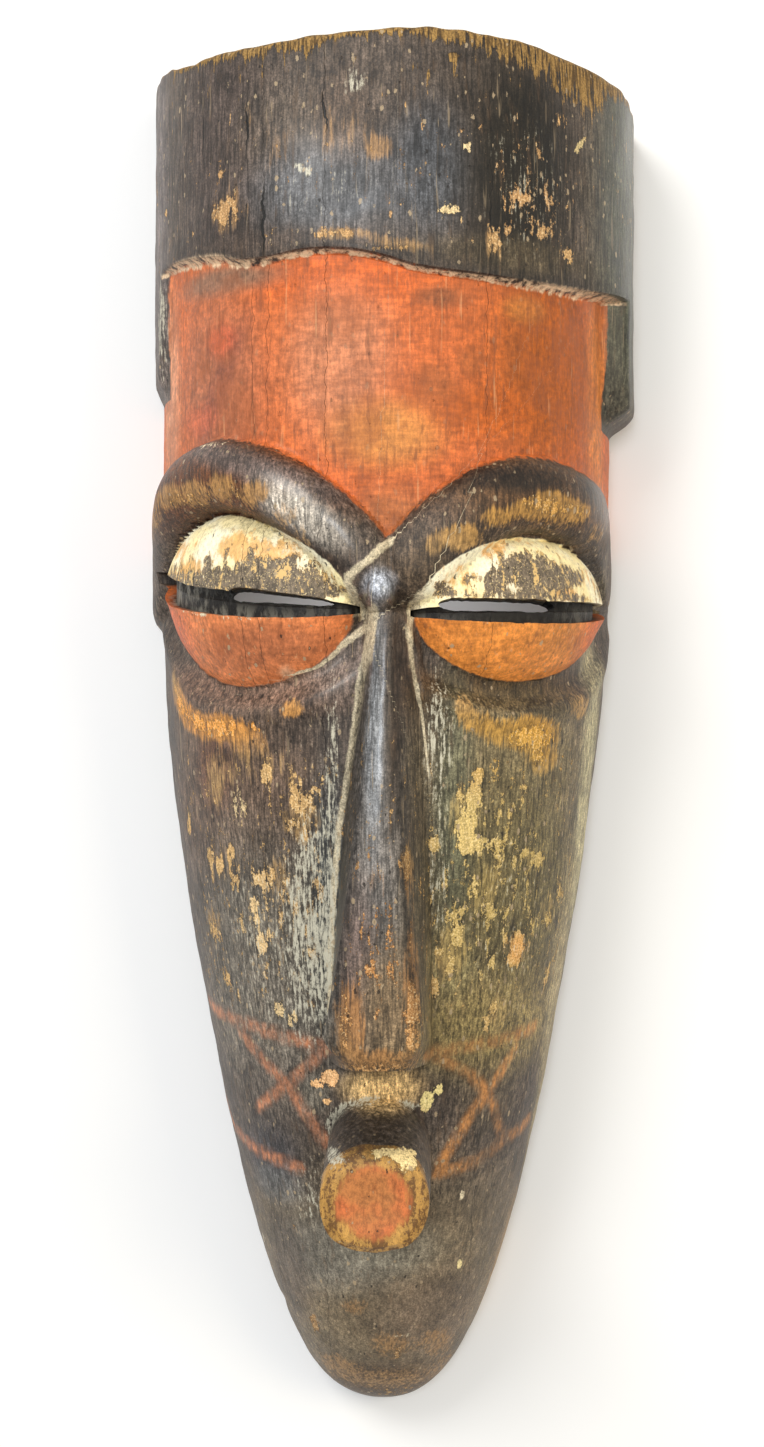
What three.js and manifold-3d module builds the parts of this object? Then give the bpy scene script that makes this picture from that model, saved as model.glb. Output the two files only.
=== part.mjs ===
// A long face mask, carved from one block of wood and hollowed from behind.
// It lies on its flat back rim with the face up, as it would on a table.
// Frame, in millimetres: +X is the right of the face as seen, +Y runs up the face to the crown,
// +Z comes out of the face. The origin is under the middle of the mask, on the plane of the rim.
// A place on the face is given by s, the distance round the arched cross-section from its top, and y.

import * as THREE from "three";
import { mergeVertices } from "three/addons/utils/BufferGeometryUtils.js";
import Module from "manifold-3d";

// The block
const LENGTH = 479; // crown to chin
const CROWN_Y = 238;
const CHIN_Y = CROWN_Y - LENGTH;
const FACE_HALF_WIDTH = 82;
const FACE_HEIGHT = 103; // back rim to forehead
const ARCH_POWER = 2.3; // 2 would be an ellipse, more is squarer
const WIDEST_Y = 50; // the sides draw in below this
const TAPER = { share: 0.62, power: 1.55, chin_power: 13 };
const MIDLINE = { x: -3, lean: -1.2 }; // the face was carved a little left of the block's middle
const HIGHEST_Y = 160; // the profile falls away above and below this
const PROFILE_POWER = 2.3;
const PROFILE_ROUNDING = 2.4;
const CROWN_FALL = 3; // how much lower the profile is at the crown
const CROWN_CUT = { highest_x: 10, right_drop: 11, left_drop: 3.5, reach: 75 };

// The hollow behind, as shares of the outer shape
const HOLLOW_WIDTH_SHARE = 0.845;
const HOLLOW_HEIGHT_SHARE = 0.865;
const CHIN_WALL = 14;
const CROWN_WALL = 15;
const HOLLOW_UNDERCUT = 3; // the cutter starts this far below the rim

// The crown band and the lobes that hang from it at the temples
const BAND_EDGE_Y = 160;
const BAND_EDGE_TILT = 4; // the edge is higher by this on the left and lower on the right
const BAND_THICKNESS = 3.5;
const LOBE = {
  left: { thickness: 3, lowest: 124 },
  right: { thickness: 9.2, lowest: 108 },
};
const LOBE_FRONT_S = 104;

// The eyes: an egg-shaped lens each, wider towards the temple
const EYES = [
  { side: -1, middle: 58, inner: 46, outer: 54, upper: 29, lower: 27.5, y: 48.5, tilt: 12, from: 12, to: 112 },
  { side: 1, middle: 48, inner: 40, outer: 60, upper: 26, lower: 23, y: 46, tilt: 3.5, from: 9, to: 108 },
];
const LENS_POWER = 1.85;
const SOCKET_DEPTH = 6;
const SOCKET_REACH = 1.4; // the socket ends at this many lens radii
const LID_RISE = 8.5;
const LID_BURIED = 9;
const SLIT_HALF_HEIGHT = 3.4;
const SLIT_GROOVE_DEPTH = 5;
const SLIT_THROUGH = [
  { from: -57, to: -15, y: 48.2 },
  { from: 14, to: 56, y: 45.8 },
];

// The brows: a rounded ridge along a path from the temple to the nose, in (s, y)
const BROW_PATHS = [
  [[-126, 48], [-127, 60], [-119, 74], [-102, 85], [-80, 91.5], [-62, 92], [-42, 87.5], [-26, 78.5], [-13, 67], [-4, 55]],
  [[118, 50], [117, 62], [108, 71], [92, 78], [74, 82], [57, 84.5], [40, 84.5], [25, 79.5], [12, 69.5], [2, 57]],
];
const BROW_HALF_WIDTH = 13;
const BROW_HEIGHTS = [
  { temple: 3.5, rest: 10 },
  { temple: 1.5, rest: 9 },
];
const BROW_BURIED = 7;

// Between the eyes: the bridge that joins the brows, and a small boss on the root of the nose
const BRIDGE = { centre: [0, 61, 90], radii: [14, 17, 17] };
const BOSS = { centre: [-7, 51.5, 97], radii: [6.5, 9, 13] };

// The nose: a wedge, narrow at the root and broad and blunt at the tip
const NOSE = {
  root: 47,
  tip: -104,
  base_x: [-1.9, -4.7],
  base_half_width: [7.2, 17.3],
  ridge_x: [-2.5, -6.8],
  ridge_half_width: [4, 12.2],
  ridge_height: [7.5, 23],
  root_depth: 12, // how far the wedge is sunk into the face
};

// The mouth: a short blunt tube that looks slightly down
const MOUTH = {
  x: -5.6,
  y: -139.5,
  buried: 45, // height of the buried end above the rim
  tip: 112,
  half_width: 18.3,
  half_height: 17,
  bevel: 3.5,
  lean_x: -0.045,
  lean_y: -0.2,
};

// A chip out of the left edge of the jaw
const CHIP = { s: -78, y: -195, reach: 7, depth: 3.5 };

// How finely the solids are faceted
const FACE_COLUMNS = 36;
const FACE_ROWS = 50;
const CROWN_END_ROWS = 3;
const HOLLOW_COLUMNS = 20;
const HOLLOW_ROWS = 28;
const ARC_STEPS = 24;
const SMOOTHING = 0.1; // facets that differ by less than this are joined

const wasm = await Module();
wasm.setup();

/** Rises smoothly from 0 at low to 1 at high. */
const ramp = (low, high, value) => THREE.MathUtils.smoothstep(value, low, high);
const { lerp, clamp } = THREE.MathUtils;

/** Half the width of the mask at the rim. */
function halfWidth(y) {
  if (y >= WIDEST_Y) return FACE_HALF_WIDTH;
  const down = clamp((WIDEST_Y - y) / (WIDEST_Y - CHIN_Y), 0, 1);
  return FACE_HALF_WIDTH * (1 - TAPER.share * down ** TAPER.power) * Math.sqrt(1 - down ** TAPER.chin_power);
}

/** Where the middle of the face is across the block. */
const midline = (y) => MIDLINE.x + MIDLINE.lean * (1 - ramp(-20, 60, y));

/** Height of the middle of the face above the rim, without its features. */
function profileHeight(y) {
  if (y >= HIGHEST_Y) return FACE_HEIGHT - CROWN_FALL * ((y - HIGHEST_Y) / (CROWN_Y - HIGHEST_Y)) ** 2;
  const down = clamp((HIGHEST_Y - y) / (HIGHEST_Y - CHIN_Y), 0, 1);
  return FACE_HEIGHT * (1 - down ** PROFILE_POWER) ** (1 / PROFILE_ROUNDING);
}

/** A point of the arched cross-section: u runs from -1 at the left rim to 1 at the right rim. */
function archPoint(u, width, height) {
  const angle = (u * Math.PI) / 2;
  const across = Math.abs(Math.sin(angle));
  const up = Math.max(0, Math.cos(angle));
  const power = 2 / ARCH_POWER;
  return {
    x: width * Math.sign(u) * across ** power,
    z: height * up ** power,
    normal: new THREE.Vector2(
      (Math.sign(u) * across ** (2 - power)) / Math.max(width, 1),
      up ** (2 - power) / Math.max(height, 1),
    ).normalize(),
  };
}

/** Distance round the cross-section from its top to u, negative on the left. */
function arcLength(u, width, height) {
  let length = 0;
  let last = archPoint(0, width, height);
  for (let i = 1; i <= ARC_STEPS; i++) {
    const next = archPoint((u * i) / ARC_STEPS, width, height);
    length += Math.hypot(next.x - last.x, next.z - last.z);
    last = next;
  }
  return Math.sign(u) * length;
}

/** The crown band stands proud of the forehead, and its lobes hang down at the temples. */
function bandRelief(s, y) {
  const lobe = s < 0 ? LOBE.left : LOBE.right;
  const edge = BAND_EDGE_Y - BAND_EDGE_TILT * Math.tanh(s / 22);
  const atSide = ramp(LOBE_FRONT_S - 4, LOBE_FRONT_S + 4, Math.abs(s));
  const band = lerp(BAND_THICKNESS, lobe.thickness, ramp(60, LOBE_FRONT_S, Math.abs(s)));
  return Math.max(
    band * ramp(edge - 1.5, edge + 1.5, y),
    lobe.thickness * atSide * ramp(lobe.lowest - 1, lobe.lowest + 9, y),
  );
}

/** Height of the line between an eye's lids at a distance s from the midline. */
function lidLine(eye, s) {
  const along = clamp((s * eye.side - eye.from) / (eye.to - eye.from), 0, 1);
  return eye.y - 2 + eye.tilt * along ** 2;
}

/** How far a place is from the middle of an eye, in lens radii: 1 is the edge of the lids. */
function lensRadius(eye, s, y) {
  const out = s * eye.side - eye.middle;
  const up = y - lidLine(eye, s);
  const across = Math.abs(out) / (out < 0 ? eye.inner : eye.outer);
  const tall = Math.abs(up) / (up < 0 ? eye.lower : eye.upper);
  return (across ** LENS_POWER + tall ** LENS_POWER) ** (1 / LENS_POWER);
}

/** The sunken socket round an eye. */
function socketRelief(eye, s, y) {
  return -SOCKET_DEPTH * (1 - ramp(0.9, SOCKET_REACH, lensRadius(eye, s, y)));
}

/** A small dent where the edge of the jaw is chipped. */
function chipRelief(s, y) {
  const distance = Math.hypot(s - CHIP.s, y - CHIP.y) / CHIP.reach;
  return -CHIP.depth * (1 - ramp(0, 1, distance));
}

/** How far the carved surface stands out of the plain arch. */
function relief(s, y) {
  const sockets = EYES.reduce((sum, eye) => sum + socketRelief(eye, s, y), 0);
  return bandRelief(s, y) + sockets + chipRelief(s, y);
}

/** Where u is on the arch at distance s from its top. */
function archShareAt(s, width, height) {
  let low = 0;
  let high = 1;
  for (let i = 0; i < 20; i++) {
    const middle = (low + high) / 2;
    if (arcLength(middle, width, height) < Math.abs(s)) low = middle;
    else high = middle;
  }
  return Math.sign(s) * low;
}

/** The point that stands `out` from the plain arch at the place (s, y). */
function onFace(s, y, out) {
  const width = halfWidth(y);
  const height = profileHeight(y);
  const point = archPoint(archShareAt(s, width, height), width, height);
  return { x: midline(y) + point.x + out * point.normal.x, y, z: point.z + out * point.normal.y };
}

/** Places along y, closer together at the band's edge, the eyes and the chin. */
function rowPlaces(count) {
  const steps = 2000;
  const density = (y) =>
    1 + 1.2 * Math.exp(-(((y - 50) / 40) ** 2)) + 4 * Math.exp(-(((y - BAND_EDGE_Y) / 6) ** 2)) +
    2.5 * Math.exp(-(y - CHIN_Y) / 12);
  const sums = [0];
  for (let i = 0; i < steps; i++) {
    sums.push(sums[i] + density(lerp(CHIN_Y, CROWN_Y, (i + 0.5) / steps)));
  }
  return Array.from({ length: count + 1 }, (_, row) => {
    const wanted = (sums[steps] * row) / count;
    const above = Math.max(1, sums.findIndex((sum) => sum >= wanted));
    const part = (wanted - sums[above - 1]) / (sums[above] - sums[above - 1]);
    return lerp(CHIN_Y, CROWN_Y, (above - 1 + part) / steps);
  });
}

/** A closed solid from a geometry whose points are first moved by `place`. */
function solidFrom(geometry, place = null) {
  const shape = geometry.clone();
  shape.deleteAttribute("normal");
  shape.deleteAttribute("uv");
  const positions = shape.getAttribute("position");
  if (place) {
    for (let i = 0; i < positions.count; i++) {
      const moved = place(positions.getX(i), positions.getY(i), positions.getZ(i));
      positions.setXYZ(i, moved.x, moved.y, moved.z);
    }
  }
  const merged = mergeVertices(shape, 1e-3);
  const corners = merged.index.array;
  const kept = [];
  for (let i = 0; i < corners.length; i += 3) {
    const [a, b, c] = corners.slice(i, i + 3);
    if (a !== b && b !== c && c !== a) kept.push(a, b, c);
  }
  return new wasm.Manifold(
    new wasm.Mesh({
      numProp: 3,
      vertProperties: merged.getAttribute("position").array,
      triVerts: new Uint32Array(kept),
    }),
  );
}

/** How much shorter than its highest point the crown is cut at x. */
function crownDrop(x) {
  const away = (x - CROWN_CUT.highest_x) / CROWN_CUT.reach;
  return away > 0 ? CROWN_CUT.right_drop * away ** 2 : CROWN_CUT.left_drop * ramp(0, 0.8, -away);
}

/** The uncut block with the face carved on it, flat underneath. */
function carvedBlock() {
  const rows = FACE_ROWS + CROWN_END_ROWS;
  const places = rowPlaces(FACE_ROWS);
  return solidFrom(new THREE.BoxGeometry(2, 2, 2, FACE_COLUMNS, rows, 1), (across, along, side) => {
    const row = Math.round(((along + 1) / 2) * rows);
    const place = places[Math.min(row, FACE_ROWS)];
    const tilt = BAND_EDGE_TILT * Math.tanh((across * 100) / 22) * Math.exp(-(((place - BAND_EDGE_Y) / 20) ** 2));
    const y = place - tilt;
    const width = halfWidth(y);
    const height = profileHeight(y);
    const point = archPoint(across, width, height);
    const out = relief(arcLength(across, width, height), y) * ramp(0, 25, height);
    const x = midline(y) + point.x + out * point.normal.x;
    const endShare = Math.max(0, row - FACE_ROWS) / CROWN_END_ROWS;
    const z = side > 0 ? (point.z + out * point.normal.y) * (1 - endShare) : 0;
    return { x, y: y - crownDrop(x) * ramp(170, CROWN_Y, y), z };
  });
}

/** What was scooped out of the back. */
function hollow() {
  return solidFrom(new THREE.BoxGeometry(2, 2, 2, HOLLOW_COLUMNS, HOLLOW_ROWS, 1), (across, along, side) => {
    const share = ((along + 1) / 2) ** 1.3;
    const outerY = lerp(CHIN_Y, CROWN_Y, share);
    const height = profileHeight(outerY) * HOLLOW_HEIGHT_SHARE + HOLLOW_UNDERCUT;
    const point = archPoint(across, halfWidth(outerY) * HOLLOW_WIDTH_SHARE, height);
    return {
      x: midline(outerY) + point.x,
      y: lerp(CHIN_Y + CHIN_WALL, CROWN_Y - CROWN_WALL, share),
      z: (side > 0 ? point.z : 0) - HOLLOW_UNDERCUT,
    };
  });
}

/** Height of the plain arch above the rim at a place seen from the front. */
function archHeight(x, y) {
  const across = Math.min(1, Math.abs(x - midline(y)) / halfWidth(y));
  return profileHeight(y) * (1 - across ** ARCH_POWER) ** (1 / ARCH_POWER);
}

/** The nose: flanks, a ridge that broadens downwards, and a blunt flat tip. */
function nose() {
  return solidFrom(new THREE.BoxGeometry(2, 2, 2, 6, 12, 1), (across, along, side) => {
    const down = (1 - along) / 2;
    const y = lerp(NOSE.root, NOSE.tip, down);
    const widening = 1 - (1 - down) ** 1.9;
    const corner = 1 - 0.18 * ramp(0.93, 1, down);
    const base = lerp(...NOSE.base_half_width, widening);
    const ridge = lerp(...NOSE.ridge_half_width, down ** 0.8) * corner;
    const baseX = lerp(...NOSE.base_x, down);
    const ridgeX = lerp(...NOSE.ridge_x, down);
    const crest = archHeight(baseX, y) + lerp(...NOSE.ridge_height, down ** 0.9);
    const foot = archHeight(baseX, y) - NOSE.root_depth;
    if (side < 0) return { x: baseX + base * across, y, z: foot };
    const onRidge = Math.abs(across) < 0.7;
    if (onRidge) {
      const over = across / 0.67;
      return { x: ridgeX + ridge * over, y, z: crest - 2.5 * over ** 2 };
    }
    return { x: baseX + base * Math.sign(across), y, z: foot + NOSE.root_depth - 1 };
  });
}

/** The mouth: a bevelled tube, buried in the face at its foot. */
function mouth() {
  const length = MOUTH.tip - MOUTH.buried;
  const profile = [
    [0, 0],
    [1, 0],
    [1, length - MOUTH.bevel],
    [1 - (0.35 * MOUTH.bevel) / MOUTH.half_width, length - 0.3 * MOUTH.bevel],
    [1 - MOUTH.bevel / MOUTH.half_width, length],
    [0, length],
  ].map(([x, y]) => new THREE.Vector2(x, y));
  return solidFrom(new THREE.LatheGeometry(profile, 32), (x, up, z) => ({
    x: MOUTH.x + MOUTH.half_width * x + MOUTH.lean_x * (up - length / 2),
    y: MOUTH.y - MOUTH.half_height * z + MOUTH.lean_y * (up - length / 2),
    z: MOUTH.buried + up,
  }));
}

/** A brow: a rounded ridge bent along its path, half buried in the face. */
function brow(path, which) {
  const line = new THREE.SplineCurve(path.map(([s, y]) => new THREE.Vector2(s, y)));
  const reach = line.getLength() / BROW_HALF_WIDTH;
  return solidFrom(new THREE.CapsuleGeometry(1, reach - 2, 4, 12, 24), (x, along, z) => {
    const share = clamp(along / reach + 0.5, 0, 1);
    const place = line.getPointAt(share);
    const ahead = line.getTangentAt(share);
    const height = lerp(BROW_HEIGHTS[which].temple, BROW_HEIGHTS[which].rest, ramp(0.15, 0.5, share));
    const out = z > 0 ? height * z : BROW_BURIED * z;
    return onFace(place.x + ahead.y * x * BROW_HALF_WIDTH, place.y - ahead.x * x * BROW_HALF_WIDTH, out);
  });
}

/** Both lids of an eye as one lens that bulges out of the socket. */
function lids(eye) {
  const lens = new THREE.SphereGeometry(1, 28, 10).rotateX(Math.PI / 2);
  return solidFrom(lens, (x, y, z) => {
    const radius = Math.hypot(x, y);
    const across = eye.side * x > 0 ? eye.outer : eye.inner;
    const tall = y < 0 ? eye.lower : eye.upper;
    const turn = radius > 1e-6 ? { x: x / radius, y: y / radius } : { x: 1, y: 0 };
    const edge = (Math.abs(turn.x) ** LENS_POWER + Math.abs(turn.y) ** LENS_POWER) ** (-1 / LENS_POWER);
    const s = eye.side * eye.middle + turn.x * across * edge * radius;
    const out = z > 0 ? (LID_RISE + SOCKET_DEPTH) * z ** 0.8 - SOCKET_DEPTH : LID_BURIED * z - SOCKET_DEPTH;
    return onFace(s, lidLine(eye, s) + turn.y * tall * edge * radius, out);
  });
}

/** A rounded lump, an ellipsoid sunk in the face. */
function lump({ centre, radii }) {
  return solidFrom(new THREE.SphereGeometry(1, 20, 12).scale(...radii).translate(...centre));
}

/** The groove between the lids, which follows the face from corner to corner. */
function slitGroove(eye) {
  return solidFrom(new THREE.BoxGeometry(2, 2, 2, 20, 2, 1), (across, along, side) => {
    const share = (across + 1) / 2;
    const s = eye.side * lerp(eye.from, eye.to, share);
    const opening = SLIT_HALF_HEIGHT * Math.sin(Math.PI * lerp(0.04, 0.96, share)) ** 0.5;
    const depth = LID_RISE * Math.sin(Math.PI * share) - SLIT_GROOVE_DEPTH;
    return onFace(s, lidLine(eye, s) + opening * along * eye.side, side > 0 ? LID_RISE + 4 : depth);
  });
}

/** The part of the slit that goes right through, straight towards the wearer's eye. */
function slitThrough({ from, to, y }) {
  const shape = new THREE.Shape();
  const middle = (from + to) / 2;
  shape.absellipse(middle, y, (to - from) / 2, SLIT_HALF_HEIGHT, 0, 2 * Math.PI);
  return solidFrom(new THREE.ExtrudeGeometry(shape, { depth: 90, bevelEnabled: false, curveSegments: 10 }), (x, yy, z) => ({
    x,
    y: y + clamp((yy - y) * 1.5, -SLIT_HALF_HEIGHT * 0.9, SLIT_HALF_HEIGHT * 0.9),
    z: z + 40,
  }));
}

/** A solid as a named mesh, with the origin under its middle. */
function meshOf(name, solid, material) {
  const made = solid.getMesh();
  const geometry = new THREE.BufferGeometry();
  geometry.setAttribute("position", new THREE.BufferAttribute(new Float32Array(made.vertProperties), 3));
  geometry.setIndex(new THREE.BufferAttribute(made.triVerts, 1));
  geometry.computeBoundingBox();
  const middle = geometry.boundingBox.getCenter(new THREE.Vector3());
  geometry.translate(-middle.x, -middle.y, -geometry.boundingBox.min.z);
  geometry.computeVertexNormals();
  const mesh = new THREE.Mesh(geometry, material);
  mesh.name = name;
  return mesh;
}

const paintedWood = new THREE.MeshStandardMaterial({ color: 0x57493c, roughness: 0.6, metalness: 0 });

const raised = [...BROW_PATHS.map(brow), ...EYES.map(lids), lump(BRIDGE), lump(BOSS), nose(), mouth()];
let carving = raised.reduce((whole, piece) => whole.add(piece), carvedBlock()).subtract(hollow());
for (const eye of EYES) carving = carving.subtract(slitGroove(eye));
for (const slit of SLIT_THROUGH) carving = carving.subtract(slitThrough(slit));
carving = carving.asOriginal().simplify(SMOOTHING);
// Pockets closed in between the raised parts are left as wood.
carving = carving.decompose().sort((one, other) => other.volume() - one.volume())[0];

const mask = new THREE.Group();
mask.add(meshOf("mask", carving, paintedWood));

export default mask;
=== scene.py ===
"""A long carved face mask of painted wood in the pende manner, worn, lying face up on a pale floor.

Lengths are millimetres in the carver's coordinates, as in the part's source, until a mesh is
finished: x runs across the face, y up to the crown, z out of the face, and s is the distance round
the arched front from its middle line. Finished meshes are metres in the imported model's frame.
"""

import logging
import math
from dataclasses import dataclass
from enum import Enum
from functools import cached_property, reduce
from operator import mul

import bmesh
import bpy
import numpy as np
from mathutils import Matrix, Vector, noise


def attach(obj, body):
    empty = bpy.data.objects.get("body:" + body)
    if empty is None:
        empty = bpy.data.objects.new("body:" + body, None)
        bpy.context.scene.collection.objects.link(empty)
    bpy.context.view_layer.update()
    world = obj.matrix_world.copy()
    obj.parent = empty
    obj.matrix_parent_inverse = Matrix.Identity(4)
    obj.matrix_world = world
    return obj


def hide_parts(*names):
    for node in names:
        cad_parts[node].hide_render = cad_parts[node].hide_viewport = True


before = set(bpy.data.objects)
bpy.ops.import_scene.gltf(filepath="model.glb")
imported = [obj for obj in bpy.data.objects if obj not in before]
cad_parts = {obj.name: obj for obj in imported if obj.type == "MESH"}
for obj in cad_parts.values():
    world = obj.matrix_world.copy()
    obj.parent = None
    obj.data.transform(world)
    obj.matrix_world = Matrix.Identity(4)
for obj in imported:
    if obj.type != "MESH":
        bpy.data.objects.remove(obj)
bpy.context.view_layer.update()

LOG = logging.getLogger("mask")
MM = 0.001
FRAME_SHIFT = (-0.1, 1.49)  # from the carver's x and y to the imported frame's, in mm
Array = np.ndarray
Pair = tuple[float, float]
Triple = tuple[float, float, float]
Socket = bpy.types.NodeSocket


def ramp(low: float, high: float, value: Array) -> Array:
    """Rises smoothly from 0 at low to 1 at high."""
    share = np.clip((value - low) / (high - low), 0.0, 1.0)
    return share * share * (3.0 - 2.0 * share)


def between(low: Array, high: Array, share: Array) -> Array:
    """The value a given share of the way from low to high."""
    return low + (high - low) * share


def soft_max(one: Array, other: Array, reach: float) -> Array:
    """The higher of two surfaces, with a fillet where they cross.

    Args:
        one: Heights of the first surface.
        other: Heights of the second surface.
        reach: Height difference over which the fillet works.

    Returns:
        The joined heights.
    """
    share = np.clip(0.5 + 0.5 * (one - other) / reach, 0.0, 1.0)
    return between(other, one, share) + reach * share * (1.0 - share) * 0.5


def linear(colour: Triple) -> Array:
    """A colour as a paint card gives it, 0 to 255, as linear light."""
    value = np.asarray(colour, dtype=float) / 255.0
    return np.where(value <= 0.04045, value / 12.92, ((value + 0.055) / 1.055) ** 2.4)


def rgba(colour: Triple) -> tuple[float, ...]:
    """A paint card colour as a shader socket takes it."""
    return (*(float(part) for part in linear(colour)), 1.0)


def painted(colour: object) -> object:
    """A paint card colour made ready for a socket; a signal or a colour in linear light stays."""
    return rgba(colour) if isinstance(colour, tuple) and len(colour) == 3 else colour


class Side(Enum):
    """The two halves of the face, as seen from the front."""

    LEFT = -1
    RIGHT = 1


@dataclass(frozen=True)
class Line:
    """A line drawn on the face through places (s, y)."""

    points: tuple[Pair, ...]

    def smoothed(self, steps: int = 10) -> Array:
        """The line as a smooth curve through its points.

        Args:
            steps: How many short pieces each stretch between two points becomes.

        Returns:
            Points along the curve, one row each.
        """
        known = np.asarray(self.points, dtype=float)
        padded = np.vstack([known[0], known, known[-1]])
        share = np.linspace(0.0, 1.0, steps, endpoint=False)[:, None]
        parts = []
        for i in range(len(known) - 1):
            before, start, end, after = padded[i:i + 4]
            leave = (end - before) / 2
            arrive = (after - start) / 2
            cubic = 2 * start - 2 * end + leave + arrive
            square = -3 * start + 3 * end - 2 * leave - arrive
            parts.append(cubic * share ** 3 + square * share ** 2 + leave * share + start)
        return np.vstack([*parts, known[-1:]])

    def height_at(self, s: Array) -> Array:
        """The line's y at s, for a line that runs across the face."""
        curve = self.smoothed()
        return np.interp(s, curve[:, 0], curve[:, 1])


def along_path(path: Array, s: Array, y: Array) -> tuple[Array, Array]:
    """How far places are from a path, and how far along it the nearest point lies.

    Args:
        path: Points of the path, one row each.
        s: Places round the face.
        y: Places up the face.

    Returns:
        The distances in mm, and the shares of the path's length.
    """
    pieces = np.diff(path, axis=0)
    lengths = np.hypot(pieces[:, 0], pieces[:, 1])
    starts = np.concatenate([[0.0], np.cumsum(lengths)])
    nearest = np.full(s.shape, 1e9)
    share = np.zeros(s.shape)
    for start, piece, length, before in zip(path[:-1], pieces, lengths, starts):
        along = ((s - start[0]) * piece[0] + (y - start[1]) * piece[1]) / length ** 2
        along = np.clip(along, 0.0, 1.0)
        away = np.hypot(s - start[0] - along * piece[0], y - start[1] - along * piece[1])
        closer = away < nearest
        nearest = np.where(closer, away, nearest)
        share = np.where(closer, (before + along * length) / starts[-1], share)
    return nearest, share


def beside_path(path: Array, s: Array, y: Array) -> Array:
    """Distance from a path, above 0 on its left side and below 0 on its right.

    Args:
        path: Points of the path, one row each.
        s: Places round the face.
        y: Places up the face.

    Returns:
        The distances in mm.
    """
    nearest = np.full(s.shape, 1e3)
    for start, piece in zip(path[:-1], np.diff(path, axis=0)):
        off_s, off_y = s - start[0], y - start[1]
        along = np.clip((off_s * piece[0] + off_y * piece[1]) / (piece @ piece), 0.0, 1.0)
        away = np.hypot(off_s - along * piece[0], off_y - along * piece[1])
        away = np.where(piece[0] * off_y < piece[1] * off_s, -away, away)
        nearest = np.where(np.abs(away) < np.abs(nearest), away, nearest)
    return nearest


def uneven(points: Array, size: float, seed: float) -> Array:
    """Smooth unevenness from -1 to 1, as a hand tool leaves it.

    Args:
        points: Places in mm, one row each.
        size: Distance over which it changes.
        seed: Which of many uneven surfaces to take.

    Returns:
        One value for each place.
    """
    moved = points / size + seed
    return np.array([noise.noise(Vector(place)) for place in moved])


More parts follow.
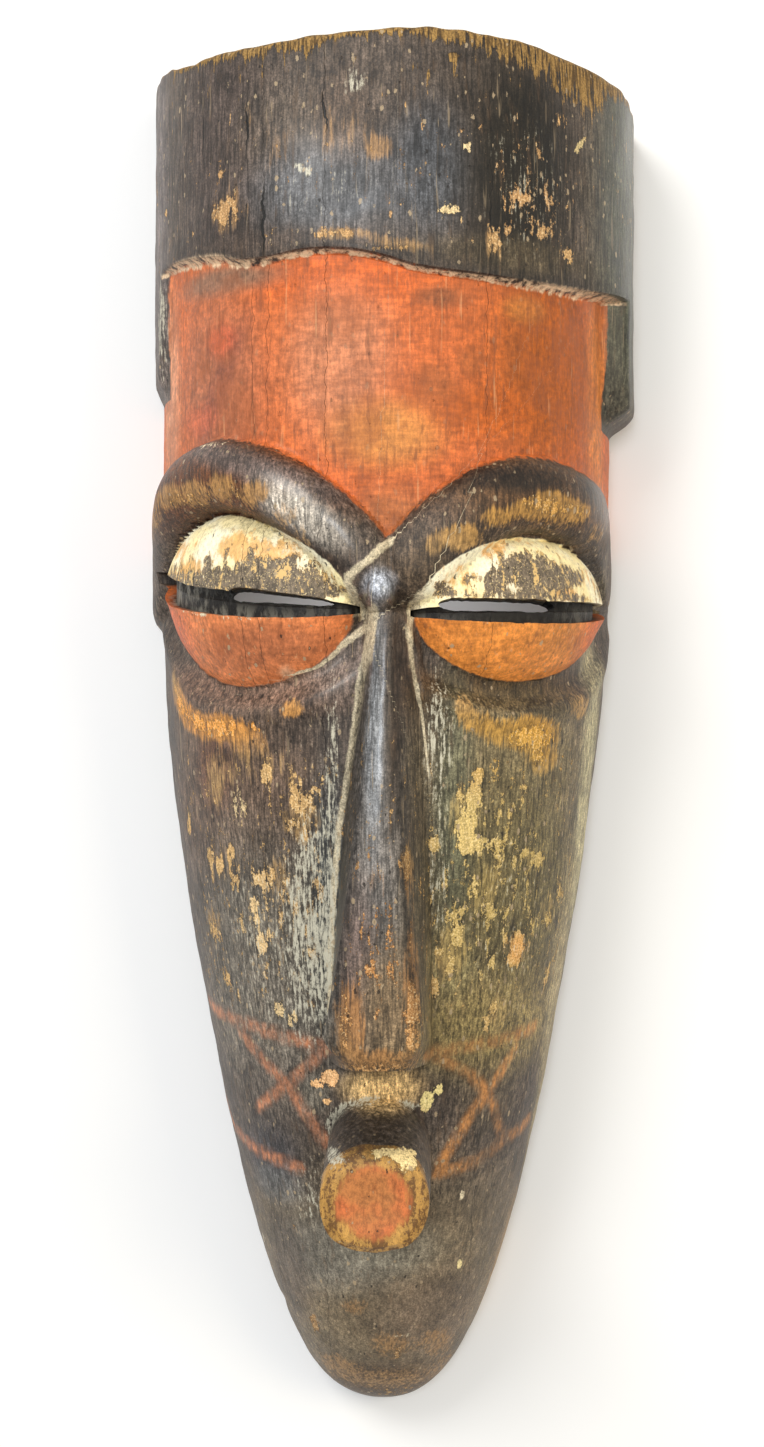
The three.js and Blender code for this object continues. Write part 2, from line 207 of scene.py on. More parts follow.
@dataclass(frozen=True)
class Block:
    """The block of wood: an arched front that tapers to the chin, on a flat back rim."""

    crown_y: float = 238.0
    chin_y: float = -241.0
    half: float = 82.0
    height: float = 103.0
    arch_power: float = 2.3
    widest_y: float = 50.0
    taper_share: float = 0.62
    taper_power: float = 1.55
    chin_power: float = 13.0
    midline_x: float = -3.0
    midline_lean: float = -1.2
    highest_y: float = 160.0
    profile_power: float = 2.3
    profile_rounding: float = 2.4
    crown_fall: float = 3.0
    aspects: Pair = (0.9, 4.0)
    aspect_steps: int = 63
    table_steps: int = 241

    def half_width(self, y: Array) -> Array:
        """Half the width of the mask at the rim."""
        down = np.clip((self.widest_y - y) / (self.widest_y - self.chin_y), 0.0, 1.0)
        return self.half * (1.0 - self.taper_share * down ** self.taper_power) * np.sqrt(
            1.0 - down ** self.chin_power)

    def midline(self, y: Array) -> Array:
        """Where the middle of the face is across the block."""
        return self.midline_x + self.midline_lean * (1.0 - ramp(-20.0, 60.0, y))

    def profile_height(self, y: Array) -> Array:
        """Height of the middle of the face above the rim, without its features.

        Args:
            y: Places up the face.

        Returns:
            Their heights.
        """
        up = np.clip((y - self.highest_y) / (self.crown_y - self.highest_y), 0.0, 1.0)
        down = np.clip((self.highest_y - y) / (self.highest_y - self.chin_y), 0.0, 1.0)
        rounding = (1.0 - down ** self.profile_power) ** (1.0 / self.profile_rounding)
        return self.height * rounding - self.crown_fall * up ** 2

    def tables(self) -> tuple[Array, Array, Array, Array]:
        """Arc lengths of arches from squat to tall.

        Returns:
            Heights to widths, whole lengths to widths, shares of the length at even angles, and
            angles at even shares of the length.
        """
        aspects = np.linspace(*self.aspects, self.aspect_steps)
        angles = np.linspace(0.0, math.pi / 2, self.table_steps)
        across = np.sin(angles) ** (2 / self.arch_power)
        up = np.clip(np.cos(angles), 0.0, 1.0) ** (2 / self.arch_power)
        steps = np.hypot(np.diff(across)[None, :], np.diff(up)[None, :] * aspects[:, None])
        lengths = np.hstack([np.zeros((len(aspects), 1)), np.cumsum(steps, axis=1)])
        totals = lengths[:, -1]
        shares = lengths / totals[:, None]
        even = np.linspace(0.0, 1.0, self.table_steps)
        angle_rows = np.array([np.interp(even, row, angles) for row in shares])
        return aspects, totals, shares, angle_rows

    def looked_up(self, table: Array, aspect: Array, share: Array) -> Array:
        """Values of a table between its rows and columns.

        Args:
            table: One row for each aspect.
            aspect: Height to width of each arch.
            share: Place along the row, from 0 to 1.

        Returns:
            One value for each place.
        """
        rows, columns = table.shape
        low, high = self.aspects
        row = np.clip((aspect - low) / (high - low), 0.0, 1.0) * (rows - 1)
        column = np.clip(share, 0.0, 1.0) * (columns - 1)
        i = np.minimum(row.astype(int), rows - 2)
        j = np.minimum(column.astype(int), columns - 2)
        low = between(table[i, j], table[i, j + 1], column - j)
        high = between(table[i + 1, j], table[i + 1, j + 1], column - j)
        return between(low, high, row - i)

    def reach(self, y: Array) -> Array:
        """Distance round the front from its middle line to the rim."""
        width = np.maximum(self.half_width(y), 1e-6)
        return width * np.interp(self.profile_height(y) / width, *self.tables()[:2])

    def place(self, s: Array, y: Array, out: Array) -> Array:
        """Points that stand out from the plain arch.

        Args:
            s: Places round the front.
            y: Places up the front.
            out: Distances from the arch, outwards.

        Returns:
            Points (x, y, z), one row each.
        """
        width = np.maximum(self.half_width(y), 1e-6)
        height = np.maximum(self.profile_height(y), 1e-6)
        share = np.abs(s) / np.maximum(self.reach(y), 1e-6)
        angle = self.looked_up(self.tables()[3], height / width, share)
        across = np.abs(np.sin(angle))
        up = np.where(share >= 1.0, 0.0, np.clip(np.cos(angle), 0.0, 1.0))
        power = 2.0 / self.arch_power
        normal_x = np.sign(s) * across ** (2.0 - power) / width
        normal_z = up ** (2.0 - power) / height
        length = np.maximum(np.hypot(normal_x, normal_z), 1e-12)
        x = self.midline(y) + width * np.sign(s) * across ** power + out * normal_x / length
        z = height * up ** power + out * normal_z / length
        return np.stack([x, y, z], axis=-1)

    def round_place(self, points: Array) -> Array:
        """How far round the front points lie, whatever stands under them.

        Args:
            points: Points (x, y, z), one row each.

        Returns:
            The distance s of each.
        """
        x, y, z = points.T
        width = np.maximum(self.half_width(y), 1e-3)
        height = np.maximum(self.profile_height(y), 1e-3)
        across = (np.abs(x - self.midline(y)) / width) ** self.arch_power
        up = (np.maximum(z, 0.0) / height) ** self.arch_power
        angle = np.arctan2(np.sqrt(across), np.sqrt(up))
        share = self.looked_up(self.tables()[2], height / width, angle / (math.pi / 2))
        return np.sign(x - self.midline(y)) * share * self.reach(y)


@dataclass(frozen=True)
class CrownBand:
    """The dark band across the crown, with a lobe that hangs at each temple."""

    edge: Line = Line((
        (-130, 166), (-100, 167.5), (-82, 167), (-61, 165), (-50, 162.5), (-39, 162.5), (-26, 164),
        (-12, 163.5), (0, 161), (10, 158), (29, 156), (50, 155), (75, 155.5), (100, 157), (130, 158),
    ))
    thickness: float = 3.5
    lobe_left: Pair = (3.0, 124.0)
    lobe_right: Pair = (9.2, 113.5)
    lobe_front: float = 104.0
    cut_highest_x: float = 10.0
    cut_drop: Pair = (2.8, 7.8)
    cut_reach: float = 75.0
    corner_rise: float = 4.0
    edge_rounding: float = 1.7

    def relief(self, s: Array, y: Array) -> Array:
        """How far the band and its lobes stand proud of the forehead.

        Args:
            s: Places round the face.
            y: Places up the face.

        Returns:
            Their heights.
        """
        left = s < 0
        thickness = np.where(left, self.lobe_left[0], self.lobe_right[0])
        lowest = np.where(left, self.lobe_left[1], self.lobe_right[1])
        away = np.abs(s)
        slanted = away - 5.0 * ramp(0.0, 30.0, lowest + 24.0 - y)
        at_side = ramp(self.lobe_front - 3.5, self.lobe_front + 3.5, slanted)
        band = between(self.thickness, thickness, ramp(60.0, self.lobe_front, away))
        on_band = band * ramp(-1.3, 1.3, y - self.edge.height_at(s))
        on_lobe = thickness * at_side * ramp(-1.0, 8.0, y - lowest)
        return np.maximum(on_band, on_lobe)

    def drop(self, x: Array, y: Array, crown_y: float) -> Array:
        """How much lower the crown is sawn off at x than at its highest point.

        Args:
            x: Places across the block.
            y: Places up the face.
            crown_y: The crown's highest y.

        Returns:
            The drops in mm.
        """
        away = (x - self.cut_highest_x) / self.cut_reach
        right = self.cut_drop[1] * np.maximum(away, 0.0) ** 2
        left = self.cut_drop[0] * ramp(0.0, 0.8, -away) - self.corner_rise * ramp(1.08, 1.22, -away)
        return np.where(away > 0, right, left) * ramp(170.0, crown_y, y)


@dataclass(frozen=True)
class Eye:
    """One eye: a bulging lens in a sunken socket, with a slit between its lids."""

    side: Side
    middle: float
    inner: float
    outer: float
    upper: float
    lower: float
    y: float
    tilt: float
    corners: Pair
    see_through: Pair
    see_through_y: float
    power: float = 1.85
    socket_depth: float = 6.0
    socket_reach: float = 1.4
    rise: float = 8.5
    moat_end: float = 1.3
    moat_depth: float = 4.2
    moat_crest: float = 1.1
    groove_half_height: float = 3.4
    groove_outer_half_height: float = 3.4
    groove_depth: float = 5.0
    see_through_half_height: Pair = (2.6, 1.9)
    see_through_rise: float = 0.0
    line_drop: float = 2.0
    upper_outer: float = 54.0
    upper_power: float = 1.85
    groove_cuts: int = 63
    opening_sides: int = 72
    opening_depth: float = 90.0

    def share(self, s: Array) -> Array:
        """How far along the slit places are, 0 at its inner end and 1 at its outer end."""
        start, end = self.corners
        return (s * self.side.value - start) / (end - start)

    def lid_line(self, s: Array) -> Array:
        """Height of the line between the lids."""
        return self.y - self.line_drop + self.tilt * np.clip(self.share(s), 0.0, 1.0) ** 2

    def radius(self, s: Array, y: Array) -> Array:
        """How far a place is from the middle of the eye, in lens radii.

        Args:
            s: Places round the face.
            y: Places up the face.

        Returns:
            The radii.
        """
        out = s * self.side.value - self.middle
        up = y - self.lid_line(s)
        outer = np.where(up < 0, self.outer, self.upper_outer)
        across = np.abs(out) / np.where(out < 0, self.inner, outer)
        tall = np.abs(up) / np.where(up < 0, self.lower, self.upper)
        power = np.where((up > 0) & (out > 0), self.upper_power, self.power)
        return (across ** power + tall ** power) ** (1.0 / power)

    def socket(self, s: Array, y: Array) -> Array:
        """How far the socket is sunk below the face, with a crest round the foot of its moat.

        Args:
            s: Places round the face.
            y: Places up the face.

        Returns:
            Their heights.
        """
        radius = self.radius(s, y)
        below = ramp(2.0, 10.0, self.lid_line(s) - y)
        upper = -self.socket_depth * (1.0 - ramp(0.9, self.socket_reach, radius))
        moat = -self.moat_depth * (1.0 - ramp(self.moat_end - 0.3, self.moat_end, radius))
        crest = self.moat_crest * np.exp(-((radius - self.moat_end) / 0.14) ** 2)
        return between(upper, moat + crest, below)

    def lids(self, s: Array, y: Array) -> Array:
        """Height of the lids over the plain arch.

        Args:
            s: Places round the face.
            y: Places up the face.

        Returns:
            Their heights.
        """
        radius = self.radius(s, y)
        below = ramp(0.0, 8.0, self.lid_line(s) - y)
        dome = np.clip(1.0 - radius ** 2, 0.0, 1.0)
        bulge = (self.rise + self.socket_depth) * between(dome ** 0.4, 0.97 * dome ** 0.62, below)
        return bulge - self.socket_depth - 40.0 * np.maximum(radius - 1.0, 0.0)

    def gape(self, share: Array) -> Array:
        """Half the height of the slit, at a share of its length from the nose."""
        half = between(self.groove_half_height, self.groove_outer_half_height, ramp(0.5, 0.9, share))
        return half * np.sin(math.pi * between(0.03, 0.96, np.clip(share, 0.0, 1.0))) ** 0.55

    def groove(self, block: Block) -> bpy.types.Object:
        """Shapes the groove between the lids, which follows the face.

        Args:
            block: The block that it cuts.

        Returns:
            Its cutter.
        """
        shape = bmesh.new()
        bmesh.ops.create_cube(shape, size=2.0)
        long_edges = [e for e in shape.edges if abs(e.verts[0].co.x - e.verts[1].co.x) > 1.0]
        bmesh.ops.subdivide_edges(shape, edges=long_edges, cuts=self.groove_cuts, use_grid_fill=True)
        across, along, side = coordinates(shape).T
        share = (across + 1.0) / 2.0
        s = self.side.value * between(*self.corners, share)
        rough = uneven(np.stack([s, along * 40.0, side * 30.0], axis=-1), 3.2, 11.3)
        opening = self.gape(share) * (1.0 + 0.12 * rough)
        surface = np.maximum(self.lids(s, self.lid_line(s)), -self.socket_depth)
        depth = surface - self.groove_depth * np.sin(math.pi * between(0.06, 0.94, share)) ** 0.5
        out = np.where(side > 0, self.rise + 6.0, depth)
        points = block.place(s, self.lid_line(s) + opening * along, out)
        return closed_object("groove", shape, points)

    def opening(self) -> bpy.types.Object:
        """Shapes the part of the slit that goes right through.

        Returns:
            Its cutter.
        """
        shape = bmesh.new()
        bmesh.ops.create_cone(
            shape, cap_ends=True, segments=self.opening_sides, radius1=1.0, radius2=1.0,
            depth=self.opening_depth)
        x, y, z = coordinates(shape).T
        start, end = self.see_through
        across = (start + end) / 2.0 + x * (end - start) / 2.0
        tall = between(*self.see_through_half_height, (1.0 + self.side.value * x) / 2.0)
        middle = self.see_through_y + self.see_through_rise * (1.0 + self.side.value * x) / 2.0
        up = np.clip(y * 1.5, -0.95, 0.95) * tall
        rough = uneven(np.stack([across, y * 50.0, z * 0.0], axis=-1), 3.0, 4.7)
        points = np.stack([across, middle + up * (1.0 + 0.14 * rough), z + 85.0], axis=-1)
        return closed_object("opening", shape, points)


@dataclass(frozen=True)
class Brow:
    """One brow: a rounded ridge along a path from the temple to the nose."""

    path: Line
    temple_height: float
    rest_height: float
    half_width: float = 13.0
    buried_slope: float = 2.4

    def nearest(self, s: Array, y: Array) -> tuple[Array, Array]:
        """How far places are from the brow's middle line, and how far along it.

        Args:
            s: Places round the face.
            y: Places up the face.

        Returns:
            The distances in mm, and the shares from the temple.
        """
        curve = self.path.smoothed()
        lengths = np.hypot(*np.diff(curve, axis=0).T)
        places = np.concatenate([[0.0], np.cumsum(lengths)])
        kept = np.linspace(self.half_width, places[-1] - self.half_width * 0.6, 70)
        trimmed = np.stack([np.interp(kept, places, curve[:, i]) for i in (0, 1)], axis=-1)
        return along_path(trimmed, s, y)

    def relief(self, s: Array, y: Array) -> Array:
        """Height of the brow over the plain arch.

        Args:
            s: Places round the face.
            y: Places up the face.

        Returns:
            Their heights.
        """
        distance, share = self.nearest(s, y)
        radius = distance / self.half_width
        height = between(self.temple_height, self.rest_height, ramp(0.05, 0.45, share))
        rounded = height * np.sqrt(np.clip(1.0 - radius ** 2, 0.0, 1.0))
        return rounded - self.buried_slope * self.half_width * np.maximum(radius - 1.0, 0.0)


@dataclass(frozen=True)
class Lump:
    """A rounded lump, an ellipsoid sunk in the face."""

    centre: Triple
    radii: Triple

    def top(self, x: Array, y: Array) -> Array:
        """Height of the lump above the rim.

        Args:
            x: Places across the block.
            y: Places up the face.

        Returns:
            Their heights.
        """
        away = ((x - self.centre[0]) / self.radii[0]) ** 2 + ((y - self.centre[1]) / self.radii[1]) ** 2
        dome = self.radii[2] * np.sqrt(np.clip(1.0 - away, 0.0, 1.0))
        return self.centre[2] + dome - 30.0 * np.maximum(away - 1.0, 0.0)


@dataclass(frozen=True)
class Nose:
    """The nose: a wedge, narrow at the root and broad and blunt at the tip."""

    root: float = 45.5
    tip: float = -106.2
    base_x: Pair = (-1.9, -4.7)
    base_half_width: Pair = (7.2, 17.3)
    ridge_x: Pair = (-2.6, -7.0)
    ridge_half_width: Pair = (3.7, 14.3)
    ridge_height: Pair = (6.4, 23.0)
    shoulder: float = 2.2
    tip_bevel: float = 3.2

    def down(self, y: Array) -> Array:
        """How far down the nose places are, 0 at its root and 1 at its tip."""
        return np.clip((self.root - y) / (self.root - self.tip), 0.0, 1.0)

    def edges(self, y: Array) -> tuple[Array, Array, Array, Array]:
        """Where the nose's foot and ridge edges lie across the block.

        Args:
            y: Places up the face.

        Returns:
            x of the left foot, the left ridge edge, the right ridge edge and the right foot.
        """
        down = self.down(y)
        at_tip = ramp(0.91, 1.0, down) ** 1.4
        base = between(*self.base_half_width, 1.0 - (1.0 - down) ** 1.9)
        ridge = between(*self.ridge_half_width, down ** 1.6) * (1.0 - 0.4 * at_tip)
        base_x = between(*self.base_x, down)
        ridge_x = between(*self.ridge_x, down ** 0.6) + 1.3 * at_tip
        return base_x - base, ridge_x - ridge, ridge_x + ridge, base_x + base

    def relief(self, x: Array, y: Array) -> Array:
        """Height of the nose over the plain arch.

        Args:
            x: Places across the block.
            y: Places up the face.

        Returns:
            Their heights.
        """
        down = self.down(y)
        left_foot, left, right, right_foot = self.edges(y)
        crest = between(*self.ridge_height, down ** 0.9)
        crest = crest - self.tip_bevel * ramp(self.tip + 9.0, self.tip - 1.0, y) ** 1.5
        over = (2.0 * x - left - right) / (right - left)
        top = crest - self.shoulder * np.minimum(np.abs(over), 1.0) ** 2.4
        flank = np.maximum((x - right) / (right_foot - right), (left - x) / (left - left_foot))
        side = (crest - self.shoulder) - np.maximum(flank, -0.4) * (crest - self.shoulder + 1.0)
        shape = -soft_max(-top, -side, 1.0)
        shape = shape - 3.0 * np.maximum(y - self.root, 0.0)
        return shape - 11.0 * np.maximum(self.tip - y, 0.0)


@dataclass(frozen=True)
class Mouth:
    """The mouth: a short blunt tube that looks slightly down."""

    x: float = -5.6
    y: float = -141.8
    buried: float = 45.0
    tip: float = 112.0
    half_width: float = 18.3
    half_height: float = 16.4
    bevel: float = 3.0
    lean: Pair = (-0.045, -0.2)
    flare: float = 0.26
    disc: Triple = (-7.4, -147.4, 12.0)
    sides: int = 72
    rings: int = 30
    end_rings: tuple[float, ...] = (0.18, 0.2, 0.25, 0.3, 0.4, 0.5)

    def build(self) -> bpy.types.Object:
        """Shapes the tube, its foot buried in the face.

        Returns:
            A closed mesh object.
        """
        length = self.tip - self.buried
        shape = bmesh.new()
        bmesh.ops.create_cone(
            shape, cap_ends=True, segments=self.sides, radius1=1.0, radius2=1.0, depth=2.0)
        upright = [e for e in shape.edges if abs(e.verts[0].co.z - e.verts[1].co.z) > 1.0]
        bmesh.ops.subdivide_edges(shape, edges=upright, cuts=self.rings, use_grid_fill=True)
        end = [f for f in shape.faces if f.calc_center_median().z > 0.99]
        for share in self.end_rings:
            bmesh.ops.inset_region(shape, faces=end, thickness=share * 0.4, use_even_offset=True)
        x, y, z = coordinates(shape).T
        up = (z + 1.0) / 2.0 * length
        radius = np.hypot(x, y)
        # The walls near the end roll over into the flat end.
        left = np.clip(length - up, 0.0, self.bevel)
        rolled = self.bevel - np.sqrt(np.maximum(self.bevel ** 2 - (self.bevel - left) ** 2, 0.0))
        wall = 1.0 - rolled / self.half_width
        dish = -0.9 * ramp(0.95, 0.2, radius) * (up > length - 0.01)
        squarish = 1.0 - 0.03 * np.cos(4.0 * np.arctan2(y, x))
        points = np.stack([
            self.x + self.half_width * x * wall * squarish + self.lean[0] * (up - length / 2),
            self.y + self.half_height * y * wall * squarish + self.lean[1] * (up - length / 2)
            + self.flare * np.maximum(y, 0.0) * (length - up),
            self.buried + up + dish,
        ], axis=-1)
        rough = uneven(points, 9.0, 2.2) * 0.5 + uneven(points, 4.0, 6.1) * between(0.25, 0.6, y > 0.3)
        away = points - np.array([self.x, self.y, 0.0])
        away[:, 2] = 0.0
        reach = np.maximum(np.linalg.norm(away, axis=1, keepdims=True), 1e-6)
        points = points + away / reach * rough[:, None] * (radius > 0.5)[:, None]
        return closed_object("mouth", shape, points)


@dataclass(frozen=True)
class Hollow:
    """What was gouged out of the back."""

    width_share: float = 0.845
    height_share: float = 0.865
    chin_wall: float = 14.0
    crown_wall: float = 15.0
    undercut: float = 3.0
    columns: int = 84
    rows: int = 120
    gouge_width: float = 13.0
    gouge_length: float = 42.0
    gouge_depth: float = 0.8

    def gouges(self, s: Array, y: Array) -> Array:
        """How deep the gouge's strokes bite, as shallow troughs along the grain.

        Args:
            s: Places round the face.
            y: Places up the face.

        Returns:
            The depths.
        """
        strip = s / self.gouge_width
        number = np.floor(strip)
        across = strip - number - 0.5
        stroke = y / self.gouge_length + np.sin(number * 12.9898) * 3.7
        along = stroke - np.floor(stroke)
        trough = (1.0 - 4.0 * across ** 2) * ramp(0.0, 0.12, along) * (0.55 + 0.45 * (1.0 - along))
        return self.gouge_depth * trough

    def build(self, block: Block) -> bpy.types.Object:
        """The cutter for the hollow.

        Args:
            block: The block that it is cut from.

        Returns:
            A closed mesh object that starts below the rim.
        """
        shape = closed_sheet(self.columns, self.rows)
        across, along, _ = coordinates(shape).T
        share = ((along + 1.0) / 2.0) ** 1.3
        outer_y = between(block.chin_y, block.crown_y, share)
        y = between(block.chin_y + self.chin_wall, block.crown_y - self.crown_wall, share)
        width = block.half_width(outer_y) * self.width_share
        height = block.profile_height(outer_y) * self.height_share + self.undercut
        power = 2.0 / block.arch_power
        angle = across * math.pi / 2
        bite = self.gouges(across * 150.0, y) - 0.5 * self.gouge_depth
        inside = ramp(1.0, 0.93, np.abs(across)) * ramp(1.0, 0.97, np.abs(along))
        grown = 1.0 + bite * inside / 60.0
        x = block.midline(outer_y) + width * grown * np.sign(across) * np.abs(np.sin(angle)) ** power
        z = height * grown * np.clip(np.cos(angle), 0.0, 1.0) ** power
        z = np.where((along > 0.999) | (np.abs(across) > 0.999), 0.0, z)
        return closed_object("hollow", shape, np.stack([x, y, z - self.undercut], axis=-1))


def linked(name: str, data: bpy.types.ID) -> bpy.types.Object:
    """Puts a new object in the scene.

    Args:
        name: Its name.
        data: Its mesh, lens or lamp.

    Returns:
        The object.
    """
    made = bpy.data.objects.new(name, data)
    bpy.context.scene.collection.objects.link(made)
    return made


def vectors(items: bpy.types.bpy_prop_collection, name: str) -> Array:
    """A vector of each of a mesh's items.

    Args:
        items: The vertices, normals or faces.
        name: The name of the vector.

    Returns:
        The vectors, one row each.
    """
    flat = np.empty(len(items) * 3)
    items.foreach_get(name, flat)
    return flat.reshape(-1, 3)


def closed_sheet(columns: int, rows: int) -> bmesh.types.BMesh:
    """A grid from -1 to 1 with one face behind it.

    Args:
        columns: How many columns of faces it has.
        rows: How many rows of faces it has.

    Returns:
        The shape.
    """
    shape = bmesh.new()
    bmesh.ops.create_grid(shape, x_segments=columns, y_segments=rows, size=1.0)
    bmesh.ops.holes_fill(shape, edges=[e for e in shape.edges if e.is_boundary], sides=0)
    return shape


def coordinates(shape: bmesh.types.BMesh) -> Array:
    """Places of all the vertices of a shape, one row each."""
    return np.array([vertex.co[:] for vertex in shape.verts])


def closed_object(name: str, shape: bmesh.types.BMesh, points: Array) -> bpy.types.Object:
    """Makes an object of a shape whose vertices are moved first, with its poles and seams closed.

    Args:
        name: What to call the object.
        shape: The shape, used up here.
        points: The new places of its vertices in mm.

    Returns:
        The object, with its faces pointing outwards.
    """
    for vertex, place in zip(shape.verts, points):
        vertex.co = place
    bmesh.ops.remove_doubles(shape, verts=shape.verts, dist=1e-4)
    bmesh.ops.dissolve_degenerate(shape, edges=shape.edges, dist=1e-5)
    bmesh.ops.recalc_face_normals(shape, faces=shape.faces)
    mesh = bpy.data.meshes.new(name)
    shape.to_mesh(mesh)
    shape.free()
    return linked(name, mesh)


@dataclass(frozen=True)
class Mark:
    """A soft-edged spot on the face: its middle, its half sizes, its strength and its turn."""

    s: float
    y: float
    across: float
    along: float
    strength: float = 1.0
    turn: float = 0.0

    def amount(self, s: Array, y: Array) -> Array:
        """How strongly the spot covers each place.

        Args:
            s: Places round the face.
            y: Places up the face.

        Returns:
            Amounts from 0 to 1.
        """
        angle = math.radians(self.turn)
        right = (s - self.s) * math.cos(angle) + (y - self.y) * math.sin(angle)
        up = (y - self.y) * math.cos(angle) - (s - self.s) * math.sin(angle)
        away = np.hypot(right / self.across, up / self.along)
        return self.strength * (1.0 - ramp(0.35, 1.35, away))


@dataclass(frozen=True)
class Tint:
    """A spot where a coat of paint has another colour, or where a painted highlight or painted shade lies.
    """

    mark: Mark
    colour: Triple


def marks(*rows: tuple[float, ...]) -> tuple[Mark, ...]:
    """Spots from rows of numbers, in the order of a mark's fields."""
    return tuple(Mark(*row) for row in rows)


def tints(*rows: tuple[float, ...]) -> tuple[Tint, ...]:
    """Spots of another colour, from rows of red, green, blue and then a mark's numbers."""
    return tuple(Tint(Mark(*row[3:]), row[:3]) for row in rows)


def layered(spots: tuple[Mark, ...], s: Array, y: Array) -> Array:
    """How strongly any of the spots covers each place."""
    return 1.0 - reduce(mul, [1.0 - mark.amount(s, y) for mark in spots])


def tinted(base: Triple, spots: tuple[Tint, ...], s: Array, y: Array) -> Array:
    """The colour of a coat of paint at each place.

    Args:
        base: Its usual colour, as a paint card gives it.
        spots: Where it differs.
        s: Places round the face.
        y: Places up the face.

    Returns:
        Colours in linear light, one row each.
    """
    colours = np.tile(linear(base), (len(s), 1))
    for tint in spots:
        amount = tint.mark.amount(s, y)[:, None]
        colours = between(colours, linear(tint.colour)[None, :], amount)
    return colours


@dataclass
class CarvedMask:
    """The mask itself: one piece of wood, carved in front and hollowed behind."""

    block: Block = Block()
    band: CrownBand = CrownBand()
    eyes: tuple[Eye, ...] = (
        Eye(Side.LEFT, 58, 49, 54, 30.4, 29.0, 48.0, 14.5, (9, 112), (-56, -20), 47.9,
            groove_half_height=4.3, groove_outer_half_height=6.4,
            see_through_half_height=(1.1, 2.6), see_through_rise=3.9, upper_outer=46.5,
            upper_power=1.48),
        Eye(Side.RIGHT, 48, 40, 60, 26, 23.5, 46.7, 3.5, (8, 106), (14, 53.5), 47.6, moat_end=1.46,
            groove_half_height=3.7, groove_outer_half_height=3.6,
            see_through_half_height=(2.2, 2.1)),
    )
    brows: tuple[Brow, ...] = (
        Brow(Line((
            (-126, 42), (-127, 52), (-120, 64), (-106, 76), (-84, 87.6), (-62, 92.4), (-42, 88.4),
            (-26, 79.4), (-13, 67.6), (-4, 55))), 4.4, 10.0, 11.9),
        Brow(Line((
            (118, 50), (117, 62), (108, 71), (92, 78), (74, 82), (57, 84.5), (41, 83.5), (27, 77),
            (15, 67), (6, 55))), 1.5, 9.0),
    )
    bridge: Lump = Lump((0, 61, 90), (14, 17, 17))
    boss: Lump = Lump((-5.2, 52.0, 99), (6.2, 8.2, 13.6))
    nose: Nose = Nose()
    mouth: Mouth = Mouth()
    hollow: Hollow = Hollow()
    scored_lines: tuple[Line, ...] = (
        Line(((-12, 55), (-6, 61), (1, 68))),
        Line(((-22, 28), (-14, 35), (-7, 40), (-4, 44))),
        Line(((4, 45), (8, 38), (11, 30), (13, 16))),
    )
    scored_height: float = 1.1
    jaw_chip: tuple[float, ...] = (-78, -195, 7, 3.5)
    jaw_notch: Triple = (-201.0, 2.4, 2.4)
    chin_widening: float = 0.15
    column_counts: tuple[int, ...] = (24, 60, 13, 10, 10, 13, 60, 24)
    face_rows: int = 318
    end_rows: int = 8
    rim_rounding: float = 1.0
    sharp_angle: float = 42.0

    def row_places(self) -> Array:
        """Spaces the rows up the face, closer together where the carving is sharp.

        Returns:
            One y for each row.
        """
        y = np.linspace(self.block.chin_y, self.block.crown_y, 4001)
        density = (
            1.0 + 3.0 * np.exp(-((y - self.nose.tip + 1.0) / 2.4) ** 2)
            + 1.3 * np.exp(-((y - 160.0) / 5.0) ** 2) + 0.5 * np.exp(-((y - 50.0) / 14.0) ** 2)
            + 1.6 * np.exp(-(self.block.crown_y - y) / 4.0)
            + 1.6 * np.exp(-(y - self.block.chin_y) / 10.0))
        sums = np.concatenate([[0.0], np.cumsum(density[1:])])
        wanted = np.linspace(0.0, sums[-1], self.face_rows + 1)
        return np.interp(wanted, sums, y)

    def column_places(self, across: Array, y: Array) -> Array:
        """Places of the columns round the face; some of them follow the nose.

        Args:
            across: Columns, from -1 at the left rim to 1 at the right rim.
            y: Places up the face.

        Returns:
            The distance s of each.
        """
        counts = np.concatenate([[0], np.cumsum(self.column_counts)])
        knots = counts / counts[-1] * 2.0 - 1.0
        reach = self.block.reach(y)
        edges = np.stack(self.nose.edges(y)) - self.block.midline(y)
        edges = edges + np.array([-1.2, 0.0, 0.0, 1.2])[:, None]
        even = np.abs(knots[[2, 3, 5, 6]])[:, None] * np.array([-1, -1, 1, 1])[:, None] * reach
        loose = np.maximum(ramp(62.0, 120.0, y), ramp(-115.0, -200.0, y))
        edges = between(edges, even, loose)
        side = between(np.minimum(100.0, 0.7 * reach), abs(knots[1]) * reach, loose)
        rows = [-reach, -side, edges[0], edges[1], (edges[1] + edges[2]) / 2, edges[2], edges[3],
                side, reach]
        place = np.zeros(across.shape)
        for i in range(len(knots) - 1):
            share = np.clip((across - knots[i]) / (knots[i + 1] - knots[i]), 0.0, 1.0)
            inside = (across >= knots[i]) & (across <= knots[i + 1])
            place = np.where(inside, between(rows[i], rows[i + 1], share), place)
        return place

    def follow(self, s: Array, y: Array) -> Array:
        """Moves rows to run along the band's edge and between the lids.

        Args:
            s: Places round the face.
            y: Places up the face.

        Returns:
            Their new y.
        """
        edge = (self.band.edge.height_at(s) - 160.0) * np.exp(-((y - 160.0) / 24.0) ** 2)
        line = np.where(s < 0, self.eyes[0].lid_line(s), self.eyes[1].lid_line(s)) - 46.0
        lids = line * ramp(4.0, 16.0, np.abs(s)) * np.exp(-((y - 46.0) / 28.0) ** 2)
        return y + edge + lids

